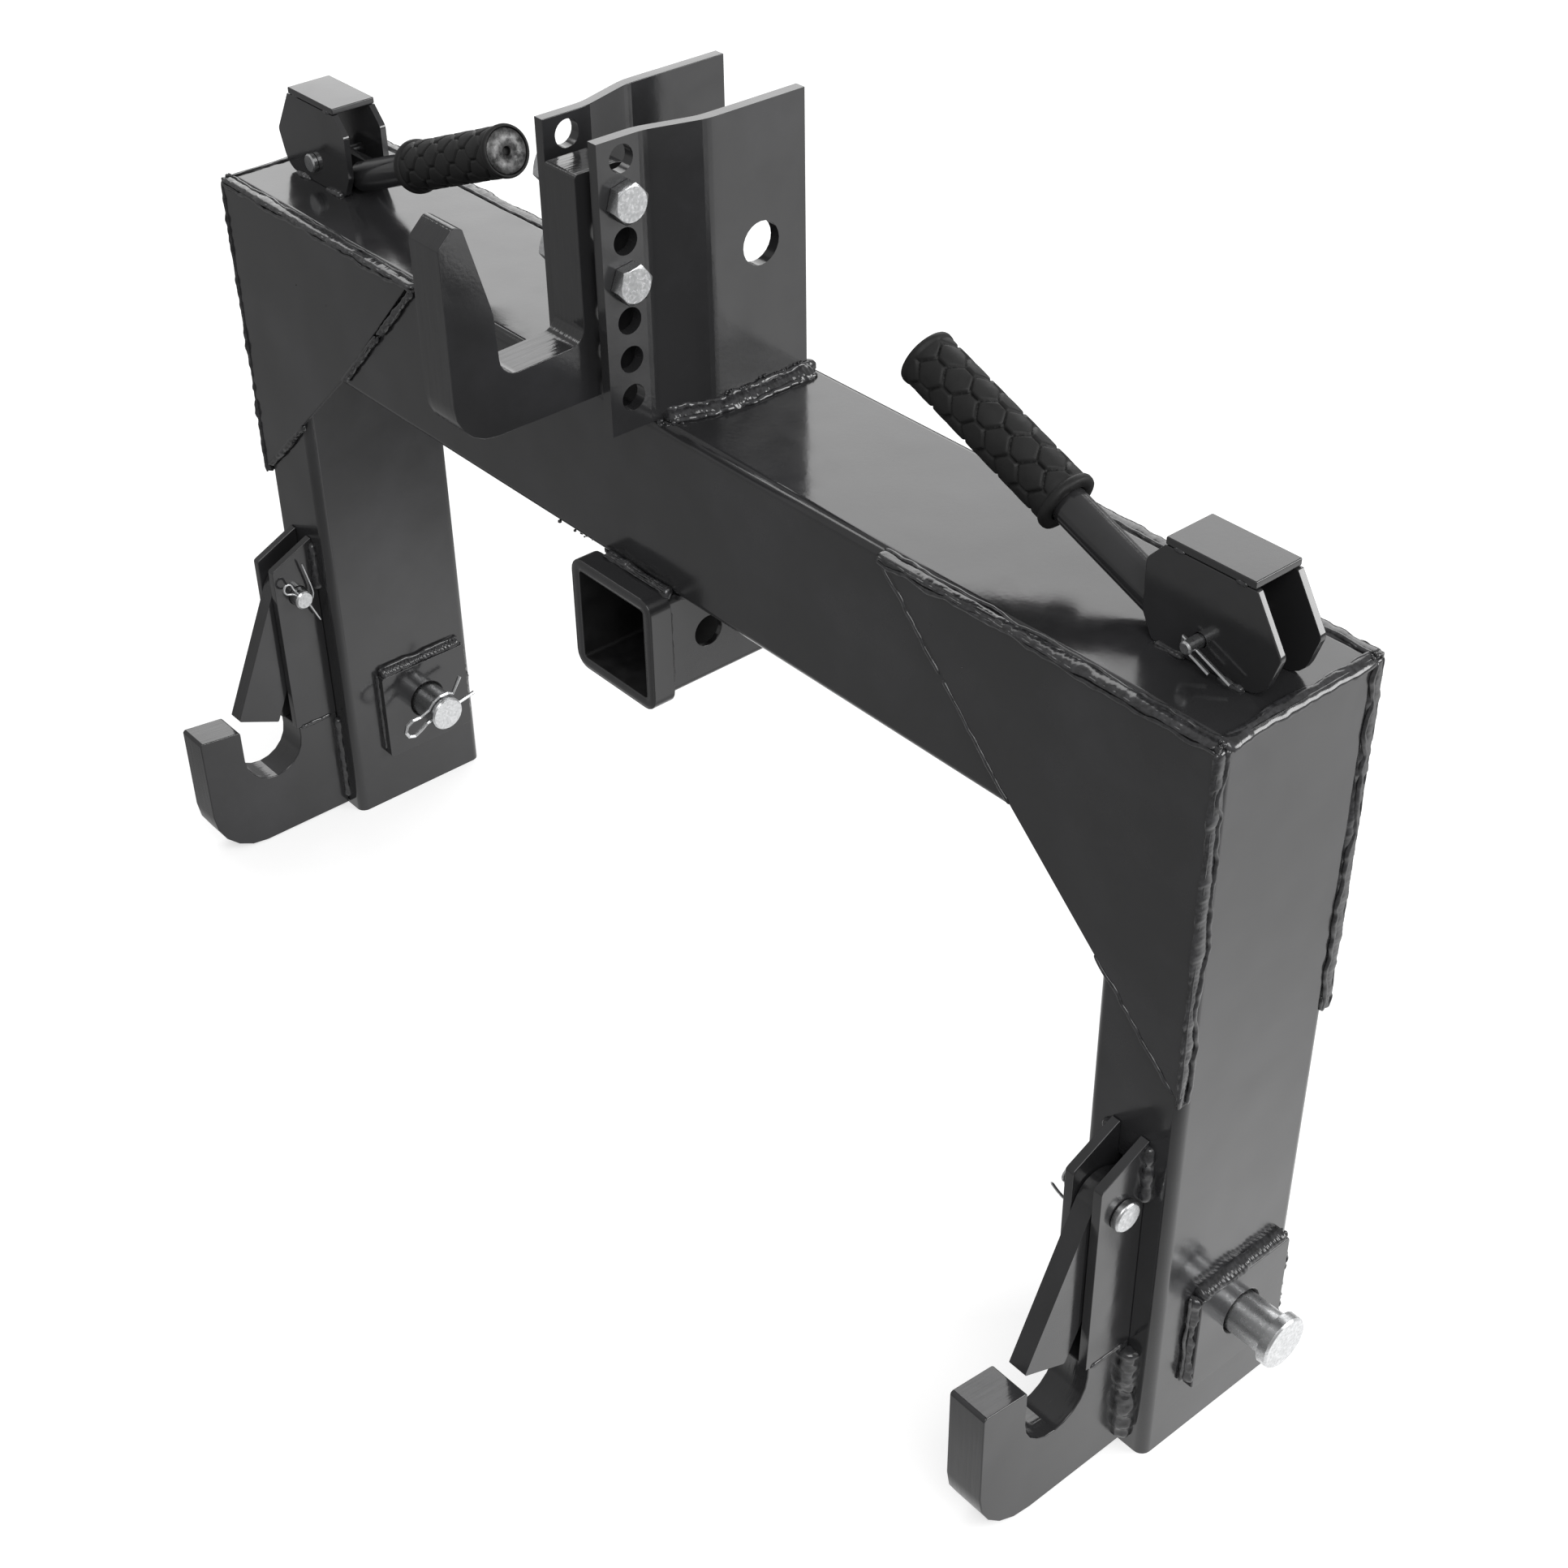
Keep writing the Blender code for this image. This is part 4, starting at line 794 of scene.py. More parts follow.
class HITCH_OT_weld_frame(HitchStep, bpy.types.Operator):
    """Weld the gussets, the mitred corners and the inner corners"""

    bl_idname = "hitch.weld_frame"
    bl_label = "Weld frame"

    def work(self, context):
        for side, sign in SIDES:
            weld = WeldRun()
            seed = 11 if sign > 0 else 47
            for face, out in FACES:
                seed += 3
                low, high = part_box("{}_{}_gusset".format(side, face))
                outer_y = low.y if out < 0 else high.y
                self.weld_corner(weld, sign, out, outer_y, seed)
                self.bridge_slant(weld, sign, out, outer_y, seed)
                drops_low = (sign * 0.20, outer_y, BEAM_TOP - 0.05)
                weld.drops(drops_low, (sign * 0.30, outer_y, BEAM_TOP - 0.004), 4, seed, 0.6)
            self.cap_mitre(weld, sign, seed)
            # In the corner under the beam
            corner = [(sign * LEG_INSIDE, y, BEAM_UNDER) for y in (TUBE_FRONT + 0.006, TUBE_BACK - 0.006)]
            weld.bead(corner, (-sign * 0.0048, 0, 0), (0, 0, -0.0048), seed + 14, sweep=90)
            weld.show(side + "_frame_welds")

    def weld_corner(self, weld, sign, out, outer_y, seed):
        y = (TUBE_FRONT if out < 0 else TUBE_BACK) + out * 0.0002
        # Along the beam's top edge: a broad low pass, a wandering crown and a toe line
        inner_x, end_x = sign * (GUSSET_INNER - 0.003), sign * (FRAME_END - 0.001)
        top = [(inner_x, y, BEAM_TOP - 0.0015), (end_x, y, BEAM_TOP - 0.0011)]
        weld.bead(top, (0, 0.0043, 0), (0, out * 0.0005, 0.0016), seed, rough=0.7, ripples=0.3)
        crown = [(x, y - out * 0.0024, z + 0.0011) for x, _, z in top]
        wave = (0.0011, ALONG_Y, 0.016, seed)
        rise = (0, out * 0.0002, 0.0009)
        weld.bead(crown, (0, 0.0012, 0), rise, seed + 20, rough=0.8, ripples=0.15, wave=wave)
        toe = [(x, outer_y + out * 0.0001, z - 0.0022) for x, _, z in top]
        wave = (0.0013, ALONG_Z, 0.015, seed + 4)
        rise = (0, out * 0.0008, 0.0003)
        weld.bead(toe, (0, 0, 0.0012), rise, seed + 21, rough=1.3, ripples=0.15, wave=wave)
        # Down the leg's outer corner: a wavy ridge beside the gusset's cut edge
        edge_x = sign * (FRAME_END - 0.0012)
        down = [(edge_x, y, BEAM_TOP - 0.002), (edge_x, y, GUSSET_FOOT - 0.003)]
        weld.bead(down, (0, 0.0040, 0), (sign * 0.0020, out * 0.0003, 0), seed + 1, ripples=0.4)
        ridge = [(x + sign * 0.0013, y - out * 0.0022, z) for x, _, z in down]
        wave = (0.0021, ALONG_Y, 0.016, seed + 1)
        weld.bead(ridge, (0, 0.0014, 0), (sign * 0.0015, 0, 0), seed + 22, ripples=0.15, wave=wave)
        lip = [(x + sign * 0.0008, outer_y - out * 0.0004, z) for x, _, z in down]
        wave = (0.0004, ALONG_Y, 0.020, seed + 2)
        weld.bead(lip, (0, 0.0007, 0), (sign * 0.0010, 0, 0), seed + 23, ripples=0.2, wave=wave)
        # The bead curls round the gusset's foot
        curl = [
            (edge_x + sign * 0.0010, outer_y, GUSSET_FOOT + 0.004),
            (edge_x + sign * 0.0008, outer_y - out * 0.0010, GUSSET_FOOT - 0.002),
            (edge_x + sign * 0.0010, y - out * 0.0030, GUSSET_FOOT - 0.0005),
            (edge_x + sign * 0.0010, y - out * 0.0040, GUSSET_FOOT + 0.006),
        ]
        weld.bead(curl, (0, 0.0011, 0.0011), (sign * 0.0012, 0, 0), seed + 24, ripples=0.3)

    def bridge_slant(self, weld, sign, out, outer_y, seed):
        # The slanted edge: paint and weld bridge it in a thin wandering line
        knee = Vector((sign * GUSSET_KNEE[0], outer_y, GUSSET_KNEE[1]))
        start = Vector((sign * GUSSET_INNER, outer_y, BEAM_TOP - 0.004))
        foot = Vector((sign * FRAME_END, outer_y, GUSSET_FOOT))
        for first, last, width in (
            (start, start.lerp(knee, 0.46), 1.0),
            (start.lerp(knee, 0.48), start.lerp(knee, 0.99), 0.8),
            (knee.lerp(foot, 0.50), knee.lerp(foot, 0.97), 1.0),
        ):
            run = (last - first).normalized()
            aside = Vector((-run.z, 0, run.x))
            if aside.x * sign > 0:
                aside = -aside
            wave = (0.0008 if width > 0.9 else 0.0004, aside, 0.012, seed + width)
            rise = (0, out * 0.0006, 0)
            weld.bead([first, last], aside * 0.0009, rise, seed + 2 + width, rough=0.8, ripples=0.2, wave=wave)
            if sign < 0:
                # The left gussets stand a little proud, so the gap behind them is filled
                inward = aside * 0.0004 - Vector((0, out * 0.0019, 0))
                line = [first + inward, last + inward]
                rise = (0, out * 0.0021, 0)
                weld.bead(line, aside * 0.0021, rise, seed + 30 + width, sweep=90, rough=1.2, ripples=0.3)

    def cap_mitre(self, weld, sign, seed):
        # Over the mitre at the beam's end
        ends = (TUBE_FRONT + 0.001, TUBE_BACK - 0.001)
        line = [(sign * (FRAME_END - 0.0016), y, BEAM_TOP - 0.0016) for y in ends]
        wave = (0.0009, (sign, 0, 0), 0.020, seed + 8)
        across, rise = (sign * 0.0036, 0, -0.0020), (sign * 0.0010, 0, 0.0019)
        weld.bead(line, across, rise, seed + 9, size=0.95, rough=0.5, ripples=0.15, wave=wave)
        crown = [(x - sign * 0.0012, y, z + 0.0014) for x, y, z in line]
        wave = (0.0012, (sign, 0, 0), 0.017, seed + 12)
        across, rise = (sign * 0.0015, 0, -0.0008), (sign * 0.0003, 0, 0.0009)
        weld.bead(crown, across, rise, seed + 10, rough=0.7, ripples=0.15, wave=wave)
        for y in ends:
            low = (sign * (FRAME_END - 0.005), y - 0.003, BEAM_TOP - 0.003)
            high = (sign * (FRAME_END + 0.0002), y + 0.003, BEAM_TOP + 0.0008)
            weld.drops(low, high, 9, seed + 40, 2.0)


class HITCH_OT_weld_mast(HitchStep, bpy.types.Operator):
    """Weld the mast plates to the beam"""

    bl_idname = "hitch.weld_mast"
    bl_label = "Weld mast"

    def work(self, context):
        weld = WeldRun()
        for side, sign in SIDES:
            seed = 71 if sign > 0 else 83
            path = [
                (sign * 0.0224, TUBE_FRONT + 0.0035, BEAM_TOP),
                (sign * 0.0226, MIDDLE_Y - 0.0415, BEAM_TOP),
                (sign * 0.0252, MIDDLE_Y - 0.0345, BEAM_TOP),
                (sign * 0.0290, MIDDLE_Y - 0.0235, BEAM_TOP),
                (sign * 0.0310, MIDDLE_Y - 0.0145, BEAM_TOP),
                (sign * 0.0312, MIDDLE_Y - 0.004, BEAM_TOP),
                (sign * 0.0312, MIDDLE_Y + 0.0400, BEAM_TOP),
            ]
            weld.bead(path, (sign * 0.0070, 0, 0), (0, 0, 0.0046), seed, sweep=90, rough=0.8)
            # The real bead has two ridges: a smooth toe on the beam and a rough one on the plate
            toe = [(x + sign * 0.0058, y, z + 0.0004) for x, y, z in path[1:]]
            wave = (0.0011, ALONG_X, 0.010, seed + 6)
            weld.bead(toe, (sign * 0.0018, 0, 0), (0, 0, 0.0017), seed + 1, rough=1.4, ripples=0.4, wave=wave)
            ridge = [(x + sign * 0.0004, y, z + 0.0042) for x, y, z in path[1:]]
            wave = (0.0007, ALONG_Z, 0.006, seed + 7)
            weld.bead(ridge, (0, 0, 0.0015), (sign * 0.0014, 0, 0), seed + 2, rough=2.4, ripples=0.6, wave=wave)
            # Round the plate's back end
            back = [(sign * x, MIDDLE_Y + 0.0386, BEAM_TOP) for x in (0.0330, 0.0250)]
            weld.bead(back, (0, 0.0050, 0), (0, 0, 0.0045), seed + 3, sweep=90, rough=1.5)
            # Inside, where the top link's ball leaves room only for a thin bead
            inside = [(sign * 0.0254, MIDDLE_Y + y, BEAM_TOP) for y in (-0.012, 0.036)]
            weld.bead(inside, (-sign * 0.0028, 0, 0), (0, 0, 0.0028), seed + 4, sweep=90)
            low = (sign * 0.0226, TUBE_FRONT, BEAM_TOP - 0.0014)
            weld.drops(low, (sign * 0.0330, TUBE_FRONT + 0.008, BEAM_TOP + 0.0010), 18, seed, 1.9)
            low = (sign * 0.0312, MIDDLE_Y - 0.012, BEAM_TOP + 0.0045)
            weld.drops(low, (sign * 0.0318, MIDDLE_Y + 0.036, BEAM_TOP + 0.0070), 34, seed + 5, 1.1)
        weld.show("mast_welds")


class HITCH_OT_weld_receiver(HitchStep, bpy.types.Operator):
    """Weld the receiver tube and its collar under the beam"""

    bl_idname = "hitch.weld_receiver"
    bl_label = "Weld receiver"

    def work(self, context):
        weld = WeldRun()
        tube_low, tube_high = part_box("receiver_tube")
        collar_low, collar_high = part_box("receiver_collar")
        back = collar_high.y
        # Between the collar's top and the beam: a pass and two ridges over it
        line = [(x, back + 0.0006, collar_high.z - 0.0014) for x in (-0.0205, 0.0300)]
        weld.bead(line, (0, -0.0030, -0.0004), (0, 0.0008, 0.0034), 101, rough=0.8, ripples=0.5)
        for shift in (-0.0016, 0.0006):
            height = collar_high.z + (0.0012 if shift > 0 else 0.0006)
            line = [(x, back + shift, height) for x in (-0.0200, 0.0290)]
            wave = (0.0009, (0, 1, -0.4), 0.012, shift * 900)
            across, rise = (0, 0.0010, -0.0003), (0, -0.0005, 0.0009)
            weld.bead(line, across, rise, 102 + shift * 1000, rough=0.9, ripples=0.2, wave=wave)
        for side, sign in SIDES:
            x = sign * (tube_high.x - 0.0022)
            line = [(x, y, BEAM_UNDER - 0.0004) for y in (TUBE_FRONT + 0.002, TUBE_BACK - 0.003)]
            weld.bead(line, (sign * 0.0048, 0, 0), (0, 0, -0.0036), 103 + sign, sweep=90, rough=1.2)
            line = [(sign * tube_high.x, back, z) for z in (tube_low.z + 0.006, tube_high.z - 0.006)]
            weld.bead(line, (0, 0.0018, 0), (sign * 0.0026, 0, 0), 107 + sign, sweep=90)
        line = [(x, back, tube_low.z) for x in (-0.023, 0.023)]
        weld.bead(line, (0, 0.0018, 0), (0, 0, -0.0026), 112, sweep=90)
        low = (-0.066, TUBE_FRONT + 0.0015, BEAM_UNDER - 0.0002)
        weld.drops(low, (-0.038, TUBE_FRONT + 0.004, BEAM_UNDER + 0.0004), 6, 5, 1.5)
        weld.show("receiver_welds")


class HITCH_OT_weld_hooks(HitchStep, bpy.types.Operator):
    """Weld the lower hooks, the latch cheeks and the boss plates to the legs"""

    bl_idname = "hitch.weld_hooks"
    bl_label = "Weld hooks and bosses"

    def work(self, context):
        for side, sign in SIDES:
            weld = WeldRun()
            seed = 131 if sign > 0 else 151
            hook_low, hook_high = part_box(side + "_lower_hook")
            cheek_low, cheek_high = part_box(side + "_latch_cheek_outer")
            stout = 1.3 if sign > 0 else 0.6
            for x, out in ((hook_low.x, -1), (hook_high.x, 1)):
                seed += 1
                # The hook, then the top of the cheek over it
                for low_z, high_z, size in (
                    (hook_low.z + 0.005, cheek_low.z - 0.004, stout),
                    (cheek_high.z - 0.036, cheek_high.z - 0.003, 0.7 + 0.1 * stout),
                ):
                    line = [(x, TUBE_FRONT, z) for z in (low_z, high_z)]
                    across, rise = (out * 0.0050, 0, 0), (0, -0.0046, 0)
                    look = {"sweep": 90, "ripples": 0.2, "size": size, "rough": 0.9}
                    weld.bead(line, across, rise, seed + high_z * 10, **look)
                # The cheek's foot on the hook
                line = [(x, y, cheek_low.z - 0.0002) for y in (TUBE_FRONT - 0.004, cheek_low.y + 0.003)]
                weld.bead(line, (0, 0, 0.0014), (out * 0.0009, 0, 0), seed + 5, rough=1.2)
            for place in ("outer", "inner"):
                seed = self.weld_boss(weld, side, sign, place, seed + 7)
            weld.show(side + "_hook_welds")

    def weld_boss(self, weld, side, sign, place, seed):
        low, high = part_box("{}_boss_plate_{}".format(side, place))
        outer = place == "outer"
        out = sign if outer else -sign
        x = sign * (FRAME_END if outer else LEG_INSIDE)
        # From and to (y, z), direction on the leg, size, roughness and ripples: top, front, back
        for (y0, z0), (y1, z1), aside, size, rough, ripples in (
            ((low.y + 0.001, high.z), (high.y - 0.001, high.z), (0, 0, 0.0046), 1.0, 0.35, 1.4),
            ((low.y, low.z + 0.004), (low.y, high.z + 0.001), (0, -0.0032, 0), 0.65 + 0.25 * sign, 1.2, 0.3),
            ((high.y, low.z + 0.004), (high.y, high.z - 0.002), (0, 0.0036, 0), 0.9, 1.4, 0.8),
        ):
            seed += 1
            line = [(x, y0, z0), (x, y1, z1)]
            rise = (out * (0.0064 if outer else 0.0052), 0, 0)
            weld.bead(line, aside, rise, seed, sweep=90, size=size, rough=rough, ripples=ripples)
            if outer != bool(aside[1]):
                continue
            # A second crown over the toe, which catches the light
            toe = [Vector(point) + Vector(aside) * 0.8 + Vector((out * 0.0010, 0, 0)) for point in line]
            across, rise = Vector(aside).normalized() * 0.0013, (out * 0.0013, 0, 0)
            wave = (0.0008, aside, 0.010, seed)
            weld.bead(toe, across, rise, seed + 60, rough=rough * 0.6, ripples=ripples * 0.25, wave=wave)
        return seed


class HITCH_OT_weld_housings(HitchStep, bpy.types.Operator):
    """Tack the lever housings to the beam"""

    bl_idname = "hitch.weld_housings"
    bl_label = "Weld lever housings"

    def work(self, context):
        for side, sign in SIDES:
            weld = WeldRun()
            seed = 171 if sign > 0 else 181
            cap_low, cap_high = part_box(side + "_housing_cap")
            for face, out in FACES:
                low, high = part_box("{}_housing_{}_cheek".format(side, face))
                y = low.y if out < 0 else high.y
                inner = min(abs(low.x), abs(high.x)) + 0.008
                outer = max(abs(low.x), abs(high.x)) - 0.015
                for start, stop in ((inner, inner + 0.016), (outer - 0.014, outer)):
                    seed += 1
                    line = [(sign * x, y, BEAM_TOP) for x in (start, stop)]
                    weld.bead(line, (0, out * 0.0024, 0), (0, 0, 0.0022), seed, sweep=90, rough=1.4)
                for start in (cap_low.x + 0.004, cap_high.x - 0.010):
                    seed += 1
                    line = [(x, y - out * 0.0002, cap_low.z) for x in (start, start + 0.006)]
                    weld.bead(line, (0, 0, 0.0010), (0, out * 0.0008, 0), seed, rough=1.4)
            weld.show(side + "_housing_welds")


def hex_rings(low, high, chamfer_low):
    # A hexagon from low to high, chamfered at 30 degrees at its top and where asked at its foot
    flat = HEX_WIDTH / 2 * HEX_FLAT_SHARE
    slope = math.tan(math.radians(30))

    def side(height, toward, chamfered):
        def ring(angle):
            turned = (angle + math.pi / 6) % (math.pi / 3) - math.pi / 6
            radius = HEX_WIDTH / 2 / math.cos(turned)
            drop = max(0.0, radius - flat) * slope if chamfered else 0.0
            return radius, height - toward * drop

        return ring

    foot = [plain(flat, low)] if chamfer_low else []
    return foot + [side(low, -1, chamfer_low), side(high, 1, True), plain(flat, high)]


class HITCH_OT_turn_bolts(HitchStep, bpy.types.Operator):
    """Make the top hook's hex bolts and nuts with chamfers and threads"""

    bl_idname = "hitch.turn_bolts"
    bl_label = "Turn bolts and nuts"

    def work(self, context):
        pitch = context.scene.hitch_zinc.thread_pitch
        for level, turn in (("upper", 12), ("lower", 8)):
            bolt_node = "top_hook_bolt_" + level
            nut_node = "top_hook_nut_" + level
            low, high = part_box(bolt_node)
            nut_low, nut_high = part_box(nut_node)
            middle = (low + high) / 2
            aim = Matrix(((0, 0, 1, 0), (0, 1, 0, 0), (-1, 0, 0, 0), (0, 0, 0, 1)))
            turned = Matrix.Rotation(math.radians(turn), 4, "Z")
            place = Matrix.Translation((0, middle.y, middle.z)) @ aim @ turned
            bolt = bmesh.new()
            seat = high.x - SOURCE_HEAD_HEIGHT
            # Without a chamfer at the head's foot
            lathe_rings(bolt, hex_rings(seat, seat + HEX_HEAD_HEIGHT, False), place, 72)
            rings = [plain(BOLT_RADIUS - 0.0012, low.x)]
            height = low.x + 0.0010
            while height < nut_low.x + 0.002:
                rings.append(plain(BOLT_RADIUS, height))
                rings.append(plain(BOLT_RADIUS - 0.0008, height + pitch / 2))
                height += pitch
            rings.append(plain(BOLT_RADIUS, height))
            rings.append(plain(BOLT_RADIUS, seat - 0.0001))
            lathe_rings(bolt, rings, place, 40)
            nut = bmesh.new()
            lathe_rings(nut, hex_rings(nut_low.x, nut_high.x, True), place, 72)
            for node, shape in ((bolt_node, bolt), (nut_node, nut)):
                show_piece(node + "_plated", shape, bright_zinc_plate(), "frame", (node,), 28)


class HITCH_OT_bend_cotters(HitchStep, bpy.types.Operator):
    """Bend the split pins that keep the latch pins in"""

    bl_idname = "hitch.bend_cotters"
    bl_label = "Bend split pins"

    # Y and Z from the pin's axis: the eye, and a leg that is straight, splayed or bent back
    EYE = (
        (-0.0022, 0.0042), (-0.0048, 0.0086), (-0.0064, 0.0122), (-0.0096, 0.0128),
        (-0.0112, 0.0100), (-0.0098, 0.0070), (-0.0058, 0.0052), (-0.0030, 0.0030),
    )
    STUB = ((-0.0028, 0.0036),)
    STRAIGHT = ((0.0040, -0.0056), (0.0062, -0.0100), (0.0105, -0.0197))
    SPLAYED = ((-0.0020, -0.0058), (-0.0082, -0.0052), (-0.0132, 0.0020), (-0.0187, 0.0120))
    BENT = ((0.0052, -0.0042), (0.0082, -0.0010), (0.0080, 0.0040), (0.0062, 0.0120), (0.0036, 0.0225))

    def work(self, context):
        for side, sign in SIDES:
            node = side + "_latch_pin_clip"
            pin_low, pin_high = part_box(side + "_latch_pin")
            clip_low, clip_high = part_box(side + "_latch_pin_clip")
            axis_y = (pin_low.y + pin_high.y) / 2
            axis_z = (pin_low.z + pin_high.z) / 2
            x = (clip_low.x + clip_high.x) / 2
            shape = bmesh.new()
            first, second = (self.STRAIGHT, self.BENT) if sign < 0 else (self.SPLAYED, self.STRAIGHT)
            for start, leg, shift in ((self.EYE, first, 0.00045), (self.STUB, second, -0.00045)):
                route = [Vector((x + shift, axis_y + y, axis_z + z)) for y, z in (*start, *leg)]
                bend_wire(shape, smooth_path(route), COTTER_RADIUS)
            show_piece(node + "_split", shape, bright_zinc_plate(), body_of(node), (node,), 60)


class HITCH_OT_plate_pins(HitchStep, bpy.types.Operator):
    """Give the pins and clips their zinc plate"""

    bl_idname = "hitch.plate_pins"
    bl_label = "Plate pins and clips"

    def work(self, context):
        for side, _ in SIDES:
            for node in ("latch_pin", "link_pin", "lever_pin"):
                round_edges("{}_{}".format(side, node), bright_zinc_plate(), 0.0004, 2)
            for node in ("link_pin_clip", "lever_pin_clip", "pull_rod"):
                repaint("{}_{}".format(side, node), bright_zinc_plate())


def grip_place(side, sign):
    # The bar's outer end, with Z along the bar and away from the hinge
    joint = [j for j in frame["joints"] if j["child"] == side + "_lever"][0]
    pivot = Vector(joint["pos_m"])
    up = Vector((-sign * math.cos(LEVER_REST), 0, math.sin(LEVER_REST)))
    below = Vector((-sign * math.sin(LEVER_REST), 0, -math.cos(LEVER_REST)))
    end = pivot + up * LEVER_BAR_END + below * LEVER_BAR_OFFSET
    return Matrix.Translation(end) @ up.to_track_quat("Z", "Y").to_matrix().to_4x4()


def scale_height(around, along, width):
    # Rounded hexagonal scales, widest across the grip: 0 in a groove, rising to a scale's middle
    rows = width * 1.05 * 0.75
    found = []
    row = round(along / rows)
    for near in (row - 1, row, row + 1):
        offset = width / 2 if near % 2 else 0.0
        column = round((around - offset) / width)
        for beside in (column - 1, column, column + 1):
            across = around - offset - beside * width
            down = (along - near * rows) * 0.93
            found.append(math.hypot(across, down))
    found.sort()
    return (found[1] - found[0]) / 2


class HITCH_OT_mould_grips(HitchStep, bpy.types.Operator):
    """Mould the rubber grips with their scale pattern"""

    bl_idname = "hitch.mould_grips"
    bl_label = "Mould grips"

    def work(self, context):
        grip = context.scene.hitch_grip
        width = 2 * math.pi * GRIP_RADIUS / grip.scales_around
        foot = -GRIP_LENGTH
        top = DISC_THICKNESS
        bore = BAR_RADIUS + 0.0003
        recess = DISC_RADIUS + 0.0003

        def scaled(height, fade):
            def ring(angle):
                around = angle / (2 * math.pi) * width * grip.scales_around
                distance = scale_height(around, height, width)
                share = min(1.0, distance / (grip.groove_width / 2))
                dome = 0.00018 * min(1.0, distance / (width * 0.42))
                sunk = grip.groove_depth * (1 - share * share * (3 - 2 * share))
                return GRIP_RADIUS - fade * sunk + fade * dome, height

            return ring

        # Up the bore, round the foot's lip, along the scales and over the end's lip
        lip = foot + GRIP_LIP_LENGTH
        rings = [
            plain(bore, 0.0),
            plain(bore, foot + 0.0006),
            plain(bore + 0.0006, foot),
            plain(GRIP_LIP_RADIUS - 0.0012, foot),
            plain(GRIP_LIP_RADIUS - 0.0003, foot + 0.0004),
            plain(GRIP_LIP_RADIUS, foot + 0.0013),
            plain(GRIP_LIP_RADIUS, lip - 0.0012),
            plain(GRIP_LIP_RADIUS - 0.0004, lip - 0.0003),
            plain(GRIP_RADIUS, lip + 0.0003),
        ]
        start = lip + 0.0006
        stop = top - 0.0035
        for step in range(GRIP_STEPS_ALONG + 1):
            height = start + (stop - start) * step / GRIP_STEPS_ALONG
            edge = min(step, GRIP_STEPS_ALONG - step) / GRIP_STEPS_ALONG * (stop - start)
            rings.append(scaled(height, min(1.0, edge / 0.002)))
        rings += [
            plain(GRIP_RADIUS + 0.0005, top - 0.0030),
            plain(GRIP_RADIUS + 0.0006, top - 0.0014),
            plain(GRIP_RADIUS + 0.0003, top - 0.0004),
            plain(GRIP_RADIUS - 0.0004, top),
            plain(recess + 0.0003, top),
            plain(recess, top - 0.0003),
            plain(recess, 0.00002),
        ]
        for side, sign in SIDES:
            shape = bmesh.new()
            lathe_rings(shape, rings, grip_place(side, sign), GRIP_STEPS_AROUND, closed=True)
            name, node = side + "_grip_moulded", side + "_lever_grip"
            show_piece(name, shape, moulded_rubber(), side + "_lever", (node,), 50)


class HITCH_OT_finish_lever_ends(HitchStep, bpy.types.Operator):
    """Finish the steel discs in the grips' ends"""

    bl_idname = "hitch.finish_lever_ends"
    bl_label = "Finish lever ends"

    def work(self, context):
        # The disc's section up to its centre hole, as radius and height
        rings = [
            plain(DISC_RADIUS - 0.0002, 0.00035),
            plain(DISC_RADIUS - 0.0001, DISC_THICKNESS - 0.0006),
            plain(DISC_RADIUS - 0.0006, DISC_THICKNESS - 0.0002),
            plain(DISC_RADIUS * 0.6, DISC_THICKNESS),
            plain(0.0026, DISC_THICKNESS - 0.0001),
            plain(0.0022, DISC_THICKNESS - 0.0005),
            plain(0.0021, 0.0006),
        ]
        for side, sign in SIDES:
            place = grip_place(side, sign)
            shape = bmesh.new()
            lathe_rings(shape, rings, place, 64)
            name = side + "_lever_end_disc"
            body = side + "_lever"
            piece = show_piece(name + "_turned", shape, machined_steel_end(), body, (name,), 50)
            # The centre hole is painted near black: painted shade inside the drilled hole
            piece.data.materials.append(oil_black_bore())
            for polygon in piece.data.polygons:
                if (polygon.center - place.translation).length < 0.0030 and polygon.area < 0.00002:
                    polygon.material_index = 1


class HITCH_OT_finish_springs(HitchStep, bpy.types.Operator):
    """Finish the return springs and their seats inside the legs"""

    bl_idname = "hitch.finish_springs"
    bl_label = "Finish springs"

    def work(self, context):
        for side, _ in SIDES:
            # A copy of the spring, with a mesh of its own
            node = side + "_return_spring"
            shape = bmesh.new()
            shape.from_mesh(NODES[node].data)
            wire = oiled_spring_wire()
            spring = show_piece(node + "_wire", shape, wire, body_of(node), (node,))
            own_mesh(spring)
            repaint(side + "_spring_seat", gloss_powder_coat())


